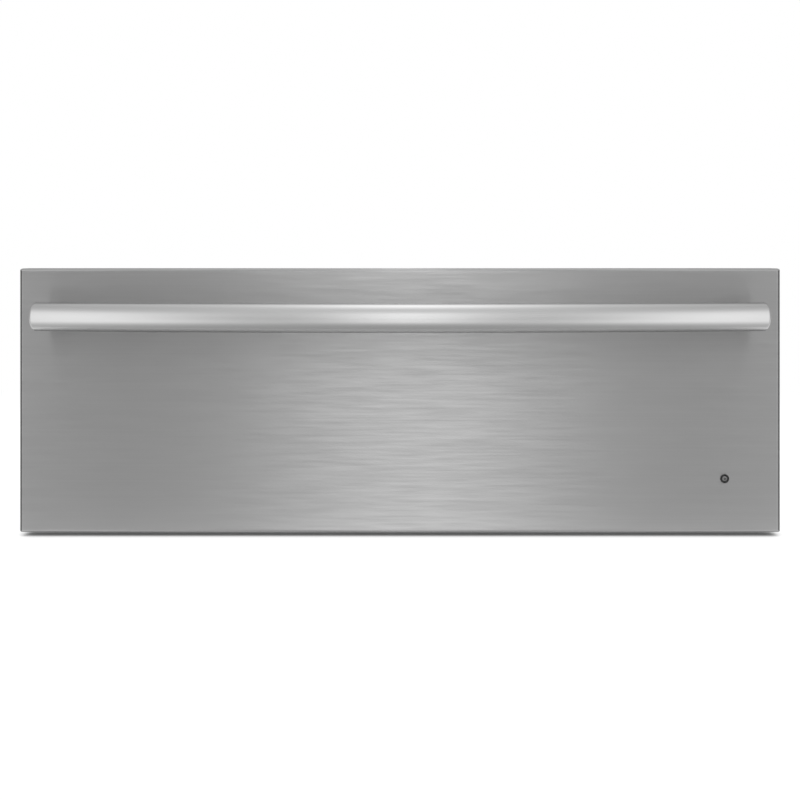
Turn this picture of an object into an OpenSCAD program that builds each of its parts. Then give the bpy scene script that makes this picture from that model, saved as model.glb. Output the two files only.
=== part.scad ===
// Warming drawer: an insulated, heated drawer behind a full-width stainless front with a bowed bar handle.
// Millimetres. +Z is up, the front faces -Y, and the origin lies under the middle of the whole object.

/* [Front] */
// Width of the stainless front
front_w = 755; // [742:1:770]
// Height of the stainless front
front_h = 262; // [256:1:275]
// Thickness of the whole front, from its face to its back panel
front_t = 24; // [23:1:30]
// Sheet of the front's outer skin
skin_t = 1; // [0.8:0.1:1.4]
// Bend radius round the edges of the skin
skin_r = 3; // [2:0.5:5]
// Sheet of the front's inner panel
panel_t = 0.8; // [0.6:0.1:1.2]
// Depth of the inner panel's folded edge
panel_fold = 12; // [8:1:16]
// Height of the front's lower edge above the surface that the unit stands on
front_gap = 4; // [2:0.5:8]
// Gap that the seal fills between the front and the casing
seal_gap = 5; // [4:0.5:8]
// Width of the seal
seal_w = 8; // [6:0.5:9]

/* [Handle] */
// Distance of the handle's ends from the front's sides
handle_in = 19.5; // [12:0.5:40]
// Radius of the handle's tube
tube_r = 13.8; // [12:0.2:15]
// Wall of the handle's tube
tube_t = 1.5; // [1:0.1:2]
// How far the middle of the handle stands in front of its tube's centre at the posts
bow = 30; // [15:1:45]
// Distance from the front's face to the tube's centre at the posts
standoff = 28; // [25:1:40]
// Distance of each post from the handle's end
post_in = 13; // [11:1:40]
// Radius of each post
post_r = 7; // [6:0.5:8]
// Distance of the tube's centre from the front's upper edge
handle_down = 46.5; // [30:0.5:60]
// Thickness of the caps on the tube's ends
cap_t = 3; // [2.5:0.5:5]
// Radius of the caps' rounded edge
cap_edge = 2.2; // [0.5:0.1:2.4]

/* [Indicator] */
// Distance of the indicator from the front's right side
lamp_in = 55.5; // [48:0.5:56]
// Height of the indicator above the front's lower edge
lamp_up = 53.5; // [45:0.5:80]
// Outer radius of the indicator's bezel
bezel_r = 4.4; // [4:0.1:5]
// How far the bezel stands out of the front
bezel_h = 1.2; // [1:0.1:2]
// Radius of the clear rod that carries the light through the front
pipe_r = 2.6; // [2:0.1:3]

/* [Casing] */
// How far the front's sides stand out beside the casing
casing_in = 18.5; // [16:0.5:21]
// How far the front's upper edge stands above the casing
casing_down = 22; // [14:1:26]
// Depth of the casing behind the face of its frame
casing_d = 560; // [500:5:640]
// Sheet of the casing
sheet_t = 1; // [0.8:0.1:1.2]
// Sheet of the front frame
frame_t = 1.2; // [1:0.1:1.6]
// How far the frame stands out beside the casing, for the cabinet screws
frame_lip = 12; // [10:0.5:14]
// Radius of the cabinet screw holes
cabinet_hole_r = 2.25; // [1.8:0.05:2.6]
// Distance between the upper and the lower cabinet screw holes
cabinet_hole_gap = 140; // [100:5:160]
// Depth of the folds that join the casing's sheets
fold_d = 12; // [10:1:14]
// Radius of the casing's lower bends
casing_r = 3; // [2:0.5:5]
// Height of the two base rails
rail_h = 8; // [6:1:12]
// Height of the rubber pads under the rails
pad_h = 4; // [3:0.5:8]
// Radius of the rubber pads
pad_r = 14; // [10:1:16]
// Distance of each base rail from the casing's side
base_side = 69; // [40:1:120]

/* [Cavity] */
// Distance of the cavity from the casing's sides
cavity_side = 56; // [55:0.5:60]
// Distance of the cavity from the casing's top
cavity_down = 22.2; // [20:0.2:26]
// Depth of the wiring space behind the rear insulation
bay_t = 32; // [28:1:50]
// Sheet of the liner
liner_t = 0.8; // [0.6:0.1:1]
// Radius of the liner's long corners
liner_r = 10; // [6:1:14]
// Thickness of the insulation under the cavity
floor_batt = 20; // [18:1:22]
// Thickness of the insulation behind the cavity
back_batt = 20; // [14:1:22]
// Thickness of the insulation beside the cavity
side_batt = 32; // [20:1:36]

/* [Slides] */
// How much shorter the slides are than the cavity
slide_short = 25; // [20:1:60]
// Height of a slide
slide_h = 46; // [44:1:50]
// Width of a closed slide
slide_w = 13; // [12.6:0.1:14]
// Sheet of the slide members
race_t = 1.2; // [1:0.1:1.3]
// Radius of the balls
ball_r = 1.95; // [1.7:0.05:2.1]
// Sheet of the ball cages
cage_t = 0.6; // [0.5:0.1:0.7]
// Balls along each arm of a cage
balls = 6; // [3:1:8]
// Length of the slides that stays engaged when the drawer is open
overlap = 60; // [50:5:160]
// Sheet of the brackets that hold the slides
bracket_t = 1.5; // [1.2:0.1:2]
// Distance of the slides' middle from the cavity's top
slide_down = 72; // [66:1:80]

/* [Drawer] */
// How much shorter the pan is than the slides
pan_short = 40; // [36:1:80]
// Height of the pan's floor above the cavity's floor
pan_up = 28; // [26:1:50]
// Sheet of the pan
pan_t = 0.8; // [0.6:0.1:1.2]
// Radius of the pan's upright corners
pan_r = 34; // [20:1:60]
// Radius where the pan's walls meet its floor
base_r = 10; // [5:1:16]
// Width of the pan's rim
rim_w = 10; // [8:0.5:10]
// Sheet of the drawer's frame
rail_t = 1.5; // [1.2:0.1:1.8]
// Thickness of the rack's thin wires
wire_d = 3; // [2.5:0.5:4]
// Thickness of the rack's rim wire
rim_wire_d = 5; // [4:0.5:6]
// Number of thin wires across the rack
wires = 17; // [9:2:25]

/* [Controls] */
// Radius of the knob
knob_r = 17; // [14:0.5:18]
// Height of the knob
knob_h = 14; // [10:0.5:15]
// Distance of the knob from the front's right side
knob_in = 38.5; // [38:0.5:39]
// Distance of the knob from the front's upper edge
knob_down = 86; // [82:1:110]
// Radius of the thermostat's shaft
shaft_r = 3; // [2.5:0.25:3.5]
// Width of the thermostat's body
stat_w = 30; // [26:1:32]
// Length of the vent's slider
vent_w = 250; // [230:5:300]
// Travel of the vent's slider
vent_travel = 17; // [12:0.5:20]
// Number of vent slots
vent_slots = 6; // [4:1:6]

/* [Heating] */
// Radius of the heating element's tube
element_r = 3.5; // [3:0.25:4]
// Distance of the element's outer runs from the cavity's walls
element_side = 153; // [120:1:170]
// Distance of the element from the cavity's mouth
element_in = 109; // [90:1:150]
// Height of the element's centre above the cavity's floor
element_up = 13; // [12:0.5:14]

/* [Rear] */
// Radius of the bore of the cord gland
gland_bore_r = 4; // [3:0.25:5]
// How far the gland stands out of the back
gland_out = 16; // [12:1:24]
// Distance of the gland from the casing's side
gland_side = 69; // [50:1:110]
// Height of the gland above the casing's floor
gland_up = 120; // [100:5:150]

/* [Hidden] */
$fn = 64;

// Clearances
fit = 0.2;          // between nested sheets, and round pins that stay put
soft = 0.3;         // between a soft piece and what it lies on
running = 0.05;     // round shafts and balls that turn
play = 0.4;         // between sheets that slide past each other

// Heights
casing_z0 = pad_h + rail_h;
front_z0 = front_gap;
front_z1 = front_z0 + front_h;
casing_z1 = front_z1 - casing_down;
liner_z0 = casing_z0 + sheet_t + floor_batt;
cavity_z0 = liner_z0 + liner_t;
cavity_z1 = casing_z1 - cavity_down;
handle_z = front_z1 - handle_down;
lamp_z = front_z0 + lamp_up;
knob_z = front_z1 - knob_down;
slide_z = cavity_z1 - slide_down;
gland_z = casing_z0 + gland_up;

// Planes from front to back, placed so that the whole object is centred on the origin
handle_reach = standoff + bow + tube_r;
total_d = handle_reach + front_t + seal_gap + casing_d + gland_out;
front_y = -total_d / 2 + handle_reach;
door_y = front_y + front_t;
face_y = door_y + seal_gap;
back_y = face_y + casing_d;
liner_y0 = face_y + frame_t;
liner_y1 = back_y - sheet_t - bay_t - back_batt;
cavity_y1 = liner_y1 - liner_t;
cavity_d = cavity_y1 - liner_y0;
skin_back_y = front_y + skin_t;

// Widths from the outside in
handle_w = front_w - 2 * handle_in;
post_x = handle_w / 2 - post_in;
lamp_x = front_w / 2 - lamp_in;
knob_x = front_w / 2 - knob_in;
casing_w = front_w - 2 * casing_in;
cavity_w = casing_w - 2 * cavity_side;
base_rail_x = casing_w / 2 - base_side;
pad_in = 50;        // distance of the pads from the casing's ends
gland_x = casing_w / 2 - gland_side;
wrap_x = casing_w / 2 - sheet_t;
wrap_in_x = wrap_x - sheet_t;
wrap_top = casing_z1 - sheet_t;
frame_x = casing_w / 2 + frame_lip;
frame_lap = 1;      // how far the frame stays inside the casing's height, top and bottom
ring_x = wrap_in_x - fit;
ring_z0 = casing_z0 + sheet_t + fit;
ring_z1 = wrap_top - fit;
cavity_x = cavity_w / 2;
liner_x = cavity_x + liner_t;
liner_lip = 5;      // width of the liner's welding lip behind the frame
batt_y = [liner_y0 + fold_d + 2, liner_y1 + back_batt];     // depth that the insulation fills
batt_side_z = [liner_z0 + soft, cavity_z1 + liner_t - soft];

// Slides: offsets inwards from the slide's fixed side
slide_x = cavity_x - bracket_t;
outer_u = [0, race_t];
outer_cage_u = [race_t + play, race_t + play + cage_t];
middle_u = [outer_cage_u[1] + play, outer_cage_u[1] + play + race_t];
inner_cage_u = [middle_u[1] + play, middle_u[1] + play + cage_t];
inner_flange_u = inner_cage_u[1] + play;
inner_u = [slide_w - race_t, slide_w];
race_gap = 2 * (ball_r + running);
outer_half = slide_h / 2;
middle_half = outer_half - race_t - race_gap;
inner_half = middle_half - race_t - race_gap;
outer_ball_u = outer_cage_u[1] + ball_r + fit;
inner_ball_u = inner_flange_u + ball_r + running;
outer_flange_u = outer_ball_u + ball_r + 1.6;
middle_flange_u = inner_ball_u + ball_r + 1.7;
slide_front = 4;    // gap between the cavity's mouth and the slides
slide_len = cavity_d - slide_short;
slide_y0 = liner_y0 + slide_front;
slide_y1 = slide_y0 + slide_len;
travel = slide_len - overlap;
member_gap = 6;     // how much shorter the moving members are at the rear
cage_stop = 10;     // how far the cages stay inside the members at each end of the travel
cage_len = travel / 2 + cage_stop;
cage_y0 = slide_y0 + travel / 4 + cage_stop;
fixing_in = 40;     // distance of the outermost slide screws from the slides' ends
slide_screw_ys = [slide_y0 + fixing_in, (slide_y0 + slide_y1) / 2, slide_y1 - fixing_in];
windows = 5;        // in each slide's bracket
window_edge = 15;   // sheet left above and below them
window_pitch = slide_len / (windows + 0.3);

// Drawer
rail_x = slide_x - slide_w;                 // outer face of the drawer rail
rail_in_x = rail_x - rail_t;
pan_gap = 1;
pan_x = rail_in_x - pan_gap;                // outer face of the pan's wall
rail_under = 2;                             // how far the rails reach below the slides
rail_over = 12;                             // and above them
rail_z0 = slide_z - outer_half - rail_under;
rail_z1 = slide_z + outer_half + rail_over; // top of the frame, where the pan's rim lies
rim_top = rail_z1 + pan_t;
rim_gap = 3;
pan_z0 = cavity_z0 + pan_up;
pan_h = rim_top - pan_z0;
pan_d = slide_len - pan_short;
pan_y0 = door_y + rail_t + rim_w + rim_gap;
pan_y1 = pan_y0 + pan_d;
rail_y1 = pan_y1 + rim_w + rim_gap + 1;
rail_top_w = rim_w + 1;
slide_rivet_ys = [slide_y0 + 1.5 * fixing_in, (slide_y0 + rail_y1) / 2, rail_y1 - 1.5 * fixing_in];
rivet_r = 2.4;
rivet_head = [4, 1.4];                      // radius and height
front_rail_h = 24;
rear_rail_h = 40;
rivet_low = 10;                             // from the rail's lower edge to its lower front rivet
rivet_high = 18;                            // from its upper edge to the upper one
foot_w = 10;                                // width of the rails' feet on the front
foot_cut = 8;                               // gap above them

// Rack
rack_gap = 16;      // between the rack's rim wire and the pan's wall
rack_foot_h = 6;
rack_x = pan_x - pan_t - rack_gap;
rack_y0 = pan_y0 + pan_t + rack_gap;
rack_y1 = pan_y1 - pan_t - rack_gap;
rack_z = pan_z0 + pan_t + rack_foot_h + rim_wire_d / 2;
rack_corner_r = 22;
rack_foot_in = 30;  // distance of the rack's feet from its corners
weld = 0.6;         // how deep the rack's wires sink into each other

// Front
door_in_x = front_w / 2 - skin_t - fit;
door_in_z0 = front_z0 + skin_t + fit;
door_in_z1 = front_z1 - skin_t - fit;
door_corner_r = max(skin_r - skin_t, 0.5);
cup_r = knob_r + 5;
cup_depth = knob_h + 2;
seal_x = cavity_x + 2.5;
seal_z0 = cavity_z0 - 2.5;
seal_z1 = cavity_z1 + 2.5;
seal_r = 12;
bow_r = (pow(post_x, 2) + pow(bow, 2)) / (2 * bow);     // radius of the tube's bow
bow_y = front_y - standoff - bow + bow_r;               // centre of the bow
end_angle = asin((handle_w / 2 - tube_r * 0.18) / bow_r);  // from the middle of the handle to its ends
cap_angle = cap_t / bow_r * 180 / PI;
bar_angle = end_angle - cap_angle;
screw_r = 2;
screw_head = [4, 2.6];      // radius and height
screw_grip = 8;             // length of thread in each post
air_slot = [32, 3];         // slots in the lower return of the skin
air_pitch = front_w / 12.6;
air_y = front_y + 9;
lens_y = front_y - 0.6;     // edge of the clear rod's dome
lens_in = 2.6;              // how far behind its edge the dome is centred

// Vent
vent_z = (rim_top + cavity_z1) / 2 + 2;
vent_h = 16;
vent_t = 1.2;
vent_slot = [14, 5];
vent_pitch = 2 * vent_travel;
vent_pull = [30, 8, 3];
vent_duct = 8;      // depth of the air space behind the vent
guide_in = 12;      // distance of the guide rivets from the slider's ends
guide_x = vent_w / 2 - guide_in - vent_travel / 2;

// Controls
dial_t = 0.8;
knob_gap = 0.5;
knob_cap = 4;       // thickness of the knob in front of its shaft
knob_skirt = 4;
grip_r = knob_r - 4;
flutes = 12;
flute_r = 1.4;
pointer = [1.2, 0.8];       // width and depth of the knob's pointer groove
knob_y1 = face_y - dial_t - knob_gap;
knob_y0 = knob_y1 - knob_h;
bushing_r = shaft_r + 1.8;
stat_h = 44;
stat_d = 34;
stat_y1 = liner_y0 + stat_d;
stat_wall = 4;      // left behind the shaft
bay_d = 70;         // depth of the control bay that the insulation leaves free
lamp_body_r = 4;
lamp_len = 26;

// Heating
element_z = cavity_z0 + element_up;
element_step = 0.2;          // the runs' spacing is a whole number of these
element_pitch = element_step * round((cavity_w - 2 * element_side) / 3 / element_step);
element_xs = [-1.5, -0.5, 0.5, 1.5] * element_pitch;
element_ends = [element_xs[0], element_xs[3]];      // where the element leaves through the rear wall
element_bend_r = element_pitch / 2;
element_back = 16;          // gap between the element's rear bend and the cavity's rear wall
element_y1 = cavity_y1 - element_bend_r - element_back;
element_y0 = liner_y0 + element_in + element_bend_r;
bay_y = liner_y1 + back_batt + 8;           // where the wiring runs behind the insulation
trunk_r = 3;
lead_r = 1.6;
plug = [8, 6, 8];                           // push-on connector
element_end_y = bay_y - plug[1] / 2;
support_ys = [element_y0 + fold_d, (element_y0 + element_y1) / 2, element_y1 - 2 * fold_d];
support_t = 1.2;
bushing_neck_r = element_r + 2;
bushing_flange = [element_r + 5, 6];
bulb_r = 3;
bulb_z = cavity_z1 - 14;
bulb_y = cavity_y1 - 10;
bulb_x = [cavity_x - element_side, cavity_x - 58];
bulb_turn = 8;              // from the bulb's end to the capillary's first bend
clip_in = 20;               // distance of the bulb's clips from its ends
clip_w = 8;
clip_leg = [10, 6];         // how far the clips reach below and above the bulb
capillary_r = 1;
capillary_drop = 22;        // how far the capillary goes down behind the insulation
capillary_loop = 12;        // and how far behind the thermostat it turns to the knob's height
capillary_x = bulb_x[1] + bulb_turn;
cutout_r = 9;
cutout_h = 8;
cutout_at = [cavity_x / 5, cavity_z1 - 30];
blade = [0.8, 6];           // thickness and width of the cut-out's two terminals
blade_gap = 4;
side_run_x = wrap_in_x - 8;                 // wiring and capillary run between insulation and casing

// Rear
gland_thread_r = gland_bore_r + 3;
gland_body_r = gland_bore_r + 6;
gland_in = 10;
gland_cap = [1.5, 5];       // how much thinner the gland's end is, and its length
nut = [gland_thread_r + 4, 5];
block = [54, 16, 20];
block_z = gland_z - 45;
block_pitch = 16;           // between the terminal block's screws
block_hole = [3, 8];        // radius and depth of the holes over them
trunk_z = block_z + block[2] / 2 + 10;
trunk_y = stat_y1 + 20;
stat_leads = [-10, 2];      // places of the thermostat's leads beside its shaft
louvre = [3.2, 40];         // width and height of the cooling slots
louvre_pitch = 2.6 * louvre[0];
louvre_in = 90;
louvre_z = casing_z0 + 66;

// Casing screws
tap_r = 1.7;
tap_hole_r = tap_r + fit;
tap_head = [3.4, 2];
tap_len = 7;
screw_in = 60;              // distance of the outermost cover screws from the casing's ends
cover_screw_ys = [face_y + screw_in, face_y + casing_d / 2, back_y - screw_in];
frame_screw_zs = [casing_z0 + 50, casing_z1 - 28];
frame_screw_y = liner_y0 + fold_d / 2;
back_screw_y = back_y - fold_d / 2;
rear_screw_xs = [-casing_w / 3, 0, casing_w / 3];
cover_screw_z = casing_z1 - fold_d / 2;

// ---------------------------------------------------------------- shapes used by several parts

// The two ends of a length about its middle
function span(middle, length) = [middle - length / 2, middle + length / 2];

// A box given by its extent along each axis
module slab(x, y, z) {
    translate([x[0], y[0], z[0]]) cube([x[1] - x[0], y[1] - y[0], z[1] - z[0]]);
}

// Round rods along each axis, at a point of the plane across it
module rod_x(r, x, at) {
    translate([x[0], at[0], at[1]]) rotate([0, 90, 0]) cylinder(r = r, h = x[1] - x[0]);
}
module rod_y(r, y, at) {
    translate([at[0], y[1], at[1]]) rotate([90, 0, 0]) cylinder(r = r, h = y[1] - y[0]);
}
module rod_z(r, z, at) {
    translate([at[0], at[1], z[0]]) cylinder(r = r, h = z[1] - z[0]);
}

// Draws its children as they are for the right side, and mirrored for the left
module on_side(side) {
    if (side > 0) children();
    else mirror([1, 0, 0]) children();
}
module both_sides() {
    children();
    mirror([1, 0, 0]) children();
}

// A rectangle with four round corners
module round_rect(x, z, r) {
    translate([x[0] + r, z[0]]) square([x[1] - x[0] - 2 * r, z[1] - z[0]]);
    translate([x[0], z[0] + r]) square([x[1] - x[0], z[1] - z[0] - 2 * r]);
    for (cx = [x[0] + r, x[1] - r], cz = [z[0] + r, z[1] - r]) translate([cx, cz]) circle(r);
}

// A round-cornered plate that faces along Y
module plate_y(x, y, z, r) {
    translate([0, y[1], 0]) rotate([90, 0, 0]) linear_extrude(y[1] - y[0]) round_rect(x, z, r);
}

// A slot with round ends that goes through along Y, w long and h high
module slot_y(x, z, w, h, y) {
    slab([x - w / 2 + h / 2, x + w / 2 - h / 2], y, [z - h / 2, z + h / 2]);
    for (s = [-1, 1]) rod_y(h / 2, y, [x + s * (w - h) / 2, z]);
}

// A rectangle whose two corners at y = 0 are round
module round_front(w, d, r) {
    translate([-w / 2, r]) square([w, d - r]);
    translate([-w / 2 + r, 0]) square([w - 2 * r, r]);
    for (s = [-1, 1]) translate([s * (w / 2 - r), r]) circle(r);
}

// A tube that runs straight from point to point, with slightly thicker round joints
module bent_tube(points, r) {
    for (i = [0 : len(points) - 2]) {
        a = points[i];
        b = points[i + 1];
        run = b - a;
        tilt = acos(run[2] / norm(run));
        translate(a) rotate([0, tilt, atan2(run[1], run[0])]) cylinder(r = r, h = norm(run));
    }
    for (i = [1 : len(points) - 2]) translate(points[i]) sphere(r * 1.1);
}

// ---------------------------------------------------------------- drawer front

// The front's outer shape, with every face moved in by inset, open towards +Y
module front_shape(inset, y1) {
    w = front_w - 2 * inset;
    h = front_h - 2 * inset;
    r = max(skin_r - inset, 0.5);
    y0 = front_y + inset;
    z = [front_z0 + inset, front_z1 - inset];
    intersection() {
        translate([0, y0, z[0]]) linear_extrude(h) round_front(w, y1 - y0, r);
        translate([0, y0, (z[0] + z[1]) / 2]) rotate([0, -90, 0])
            linear_extrude(w, center = true) round_front(h, y1 - y0, r);
        plate_y([-w / 2, w / 2], [y0, y1], z, r);
    }
}

module front_skin() {
    color("silver") difference() {
        front_shape(0, door_y);
        front_shape(skin_t, door_y + 1);
        rod_y(pipe_r + fit, [front_y - 1, skin_back_y + 1], [lamp_x, lamp_z]);
        both_sides() rod_y(screw_r + fit, [front_y - 1, skin_back_y + 1], [post_x, handle_z]);
        for (i = [-3.5 : 3.5])
            slab(span(i * air_pitch, air_slot[0]), [air_y, air_y + air_slot[1]],
                 [front_z0 - 1, front_z0 + skin_t + 1]);
    }
}

// Openings of the vent, in the inner panel and, moved by its travel, in the slider
module vent_openings(shift, y) {
    for (i = [0 : vent_slots - 1])
        slot_y((i - (vent_slots - 1) / 2) * vent_pitch + shift, vent_z, vent_slot[0], vent_slot[1], y);
}

module front_inner_panel() {
    y0 = door_y - panel_fold;
    color("gainsboro") difference() {
        union() {
            difference() {
                plate_y([-door_in_x, door_in_x], [y0, door_y], [door_in_z0, door_in_z1], door_corner_r);
                slab([-door_in_x + panel_t, door_in_x - panel_t], [y0 - 1, door_y - panel_t],
                     [door_in_z0 + panel_t, door_in_z1 - panel_t]);
            }
            rod_y(cup_r + panel_t, [door_y - cup_depth - panel_t, door_y], [knob_x, knob_z]);
        }
        rod_y(cup_r, [door_y - cup_depth, door_y + 1], [knob_x, knob_z]);
        rod_y(pipe_r + fit, [door_y - panel_t - 1, door_y + 1], [lamp_x, lamp_z]);
        vent_openings(0, [door_y - panel_t - 1, door_y + 1]);
        vent_guides() rod_y(rivet_r + fit, [door_y - panel_t - 1, door_y + 1], [0, 0]);
        rail_rivets() rod_y(rivet_r + fit, [door_y - panel_t - 1, door_y + 1], [0, 0]);
    }
}

module front_insulation() {
    y = [skin_back_y + soft, door_y - panel_t - soft];
    gap = panel_t + soft;
    color("khaki") difference() {
        slab([-door_in_x + gap, door_in_x - gap], y, [door_in_z0 + gap, door_in_z1 - gap]);
        rod_y(cup_r + panel_t + soft, [door_y - cup_depth - panel_t - soft, door_y], [knob_x, knob_z]);
        rod_y(pipe_r + soft, [front_y, door_y], [lamp_x, lamp_z]);
        both_sides()
            rod_y(screw_head[0] + soft, [front_y, skin_back_y + screw_head[1] + soft], [post_x, handle_z]);
        rail_rivets() rod_y(rivet_head[0] + soft, [door_y - panel_t - rivet_head[1] - soft, door_y], [0, 0]);
        slab(span(0, vent_w), [door_y - vent_duct, door_y], span(vent_z, vent_h));
    }
}

module front_seal() {
    y = [door_y, face_y - soft];
    color("dimgray") difference() {
        plate_y([-seal_x - seal_w, seal_x + seal_w], y, [seal_z0 - seal_w, seal_z1 + seal_w], seal_r);
        plate_y([-seal_x, seal_x], [y[0] - 1, y[1] + 1], [seal_z0, seal_z1], seal_r - seal_w / 2);
    }
}

// ---------------------------------------------------------------- handle and indicator

// A length of the handle's bow between two angles from its middle, with a round section of radius r
module bow_piece(from, to, r) {
    translate([0, bow_y, handle_z]) rotate([0, 0, 270 + from])
        rotate_extrude(angle = to - from, $fn = 1800) translate([bow_r, 0]) circle(r, $fn = 64);
}

module handle_bar() {
    color("lightgray") difference() {
        bow_piece(-bar_angle, bar_angle, tube_r);
        bow_piece(-bar_angle - 1, bar_angle + 1, tube_r - tube_t);
    }
}

// Each cap is a disc with a rounded edge and a plug that fills the tube's end
module handle_end_caps() {
    core_r = tube_r - cap_edge;
    color("lightgray") both_sides() {
        translate([0, bow_y, handle_z]) rotate([0, 0, 270 + bar_angle]) translate([bow_r, 0, 0])
            rotate([-90, 0, 0]) rotate_extrude() {
                square([core_r, cap_t]);
                translate([core_r, 0]) square([cap_edge, cap_t - cap_edge]);
                translate([core_r, cap_t - cap_edge]) intersection() {
                    circle(cap_edge);
                    square(cap_edge);
                }
            }
        bow_piece(bar_angle - 3 * cap_angle, bar_angle + cap_angle / 2, tube_r - tube_t - running);
    }
}

module handle_post(side) {
    color("lightgray") on_side(side) difference() {
        rod_y(post_r, [front_y - standoff + tube_r / 2, front_y], [post_x, handle_z]);
        bow_piece(0, end_angle + 1, tube_r + running);
        rod_y(screw_r + fit, [front_y - screw_grip - 1, front_y + 1], [post_x, handle_z]);
    }
}

module handle_screws() {
    color("dimgray") both_sides() {
        rod_y(screw_head[0], [skin_back_y, skin_back_y + screw_head[1]], [post_x, handle_z]);
        rod_y(screw_r, [front_y - screw_grip, skin_back_y + 1], [post_x, handle_z]);
    }
}

// A ring with a round crown
module indicator_bezel() {
    hole_r = pipe_r + fit;
    width = bezel_r - hole_r;
    crown_r = 0.625 * width;
    color([0.05, 0.05, 0.05]) translate([lamp_x, front_y, lamp_z]) rotate([90, 0, 0])
        rotate_extrude() intersection() {
            translate([hole_r, 0]) square([width, bezel_h + 1]);
            translate([hole_r + width / 2, bezel_h - crown_r]) circle(crown_r);
        }
}

// A clear rod with a domed end
module indicator_light_pipe() {
    color([0.75, 0.78, 0.8]) {
        rod_y(pipe_r, [lens_y, door_y + 1], [lamp_x, lamp_z]);
        translate([lamp_x, lens_y, lamp_z]) intersection() {
            translate([0, lens_in, 0]) sphere(norm([pipe_r, lens_in]));
            rod_y(pipe_r, [-4, 0.1], [0, 0]);
        }
    }
}

// ---------------------------------------------------------------- vent slider

// Draws its children at each guide rivet of the vent
module vent_guides() {
    for (s = [-1, 1]) translate([s * guide_x, 0, vent_z]) children();
}

module vent_slider() {
    y = [door_y + fit, door_y + fit + vent_t];
    cut_y = [y[0] - 1, y[1] + 1];
    z = span(vent_z, vent_h);
    guide_w = 2 * (rivet_r + fit);
    color("silver") difference() {
        union() {
            slab([-vent_w / 2, vent_w / 2 - vent_travel], y, z);
            slab(span(0, vent_pull[0]), [y[0], y[1] + vent_pull[1]], [z[0], z[0] + vent_pull[2]]);
        }
        vent_openings(-vent_travel, cut_y);
        for (s = [-1, 1])
            slot_y(s * guide_x - vent_travel / 2, vent_z, vent_travel + guide_w, guide_w, cut_y);
    }
}

// ---------------------------------------------------------------- drawer frame and pan

module drawer_rail(side) {
    color("silver") on_side(side) difference() {
        union() {
            slab([rail_in_x, rail_x], [door_y, rail_y1], [rail_z0, rail_z1]);
            slab([rail_in_x, rail_in_x + rail_top_w], [door_y + rail_t + 1, rail_y1],
                 [rail_z1 - rail_t, rail_z1]);
            slab([rail_in_x, rail_x + foot_w], [door_y, door_y + rail_t], [rail_z0, rail_z1 - foot_cut]);
        }
        rail_rivets_right() rod_y(rivet_r + fit, [door_y - 1, door_y + rail_t + 1], [0, 0]);
        slide_rivet_holes();
    }
}

// Draws its children at the rivets that hold the rails to the front
module rail_rivets_right() {
    for (z = [rail_z0 + rivet_low, rail_z1 - rivet_high]) translate([rail_x + foot_w / 2, 0, z]) children();
}
module rail_rivets() {
    both_sides() rail_rivets_right() children();
}

module drawer_front_rail() {
    x = rail_in_x;
    color("silver") {
        slab([-x, x], [door_y, door_y + rail_t], [rail_z1 - front_rail_h, rail_z1]);
        slab([-x, x], [door_y, pan_y0 - pan_gap], [rail_z1 - rail_t, rail_z1]);
    }
}

module drawer_rear_rail() {
    x = rail_in_x;
    color("silver") {
        slab([-x, x], [rail_y1 - rail_t, rail_y1], [rail_z1 - rear_rail_h, rail_z1]);
        slab([-x, x], [pan_y1 + pan_gap, rail_y1], [rail_z1 - rail_t, rail_z1]);
    }
}

module drawer_rivets() {
    y0 = door_y - panel_t - rivet_head[1];
    vent_y = door_y + 2 * fit + vent_t;
    color("gray") {
        vent_guides() {
            rod_y(rivet_r, [y0, vent_y], [0, 0]);
            rod_y(rivet_head[0], [vent_y, vent_y + rivet_head[1]], [0, 0]);
            rod_y(rivet_head[0], [y0, door_y - panel_t], [0, 0]);
        }
        rail_rivets() {
            rod_y(rivet_r, [y0, door_y + rail_t], [0, 0]);
            rod_y(rivet_head[0], [door_y + rail_t, door_y + rail_t + rivet_head[1]], [0, 0]);
            rod_y(rivet_head[0], [y0, door_y - panel_t], [0, 0]);
        }
        both_sides() slide_rivets() {
            rod_x(rivet_r, [rail_in_x, rail_x + race_t], [0, 0]);
            rod_x(rivet_head[0], [rail_x + race_t, rail_x + race_t + rivet_head[1]], [0, 0]);
        }
    }
}

// The pan's wall from its floor to its rim, seen end on, with the corner's centre at x = 0
module pan_wall() {
    translate([pan_r - pan_t, base_r]) square([pan_t, pan_h - base_r]);
    translate([pan_r - pan_t, pan_h - pan_t]) square([rim_w + pan_t, pan_t]);
    translate([pan_r - base_r, base_r]) intersection() {
        difference() {
            circle(base_r);
            circle(base_r - pan_t);
        }
        translate([0, -base_r]) square([base_r, base_r]);
    }
    square([pan_r - base_r, pan_t]);
}

module warming_pan() {
    cx = pan_x - pan_r;
    cy = [pan_y0 + pan_r, pan_y1 - pan_r];
    color("whitesmoke") translate([0, 0, pan_z0]) {
        slab([-cx, cx], cy, [0, pan_t]);
        translate([cx, cy[1], 0]) rotate([90, 0, 0]) linear_extrude(cy[1] - cy[0]) pan_wall();
        translate([-cx, cy[0], 0]) rotate([90, 0, 180]) linear_extrude(cy[1] - cy[0]) pan_wall();
        translate([-cx, cy[1], 0]) rotate([90, 0, 90]) linear_extrude(2 * cx) pan_wall();
        translate([cx, cy[0], 0]) rotate([90, 0, -90]) linear_extrude(2 * cx) pan_wall();
        translate([cx, cy[1], 0]) rotate_extrude(angle = 90) pan_wall();
        translate([-cx, cy[1], 0]) rotate([0, 0, 90]) rotate_extrude(angle = 90) pan_wall();
        translate([-cx, cy[0], 0]) rotate([0, 0, 180]) rotate_extrude(angle = 90) pan_wall();
        translate([cx, cy[0], 0]) rotate([0, 0, 270]) rotate_extrude(angle = 90) pan_wall();
    }
}

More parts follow.
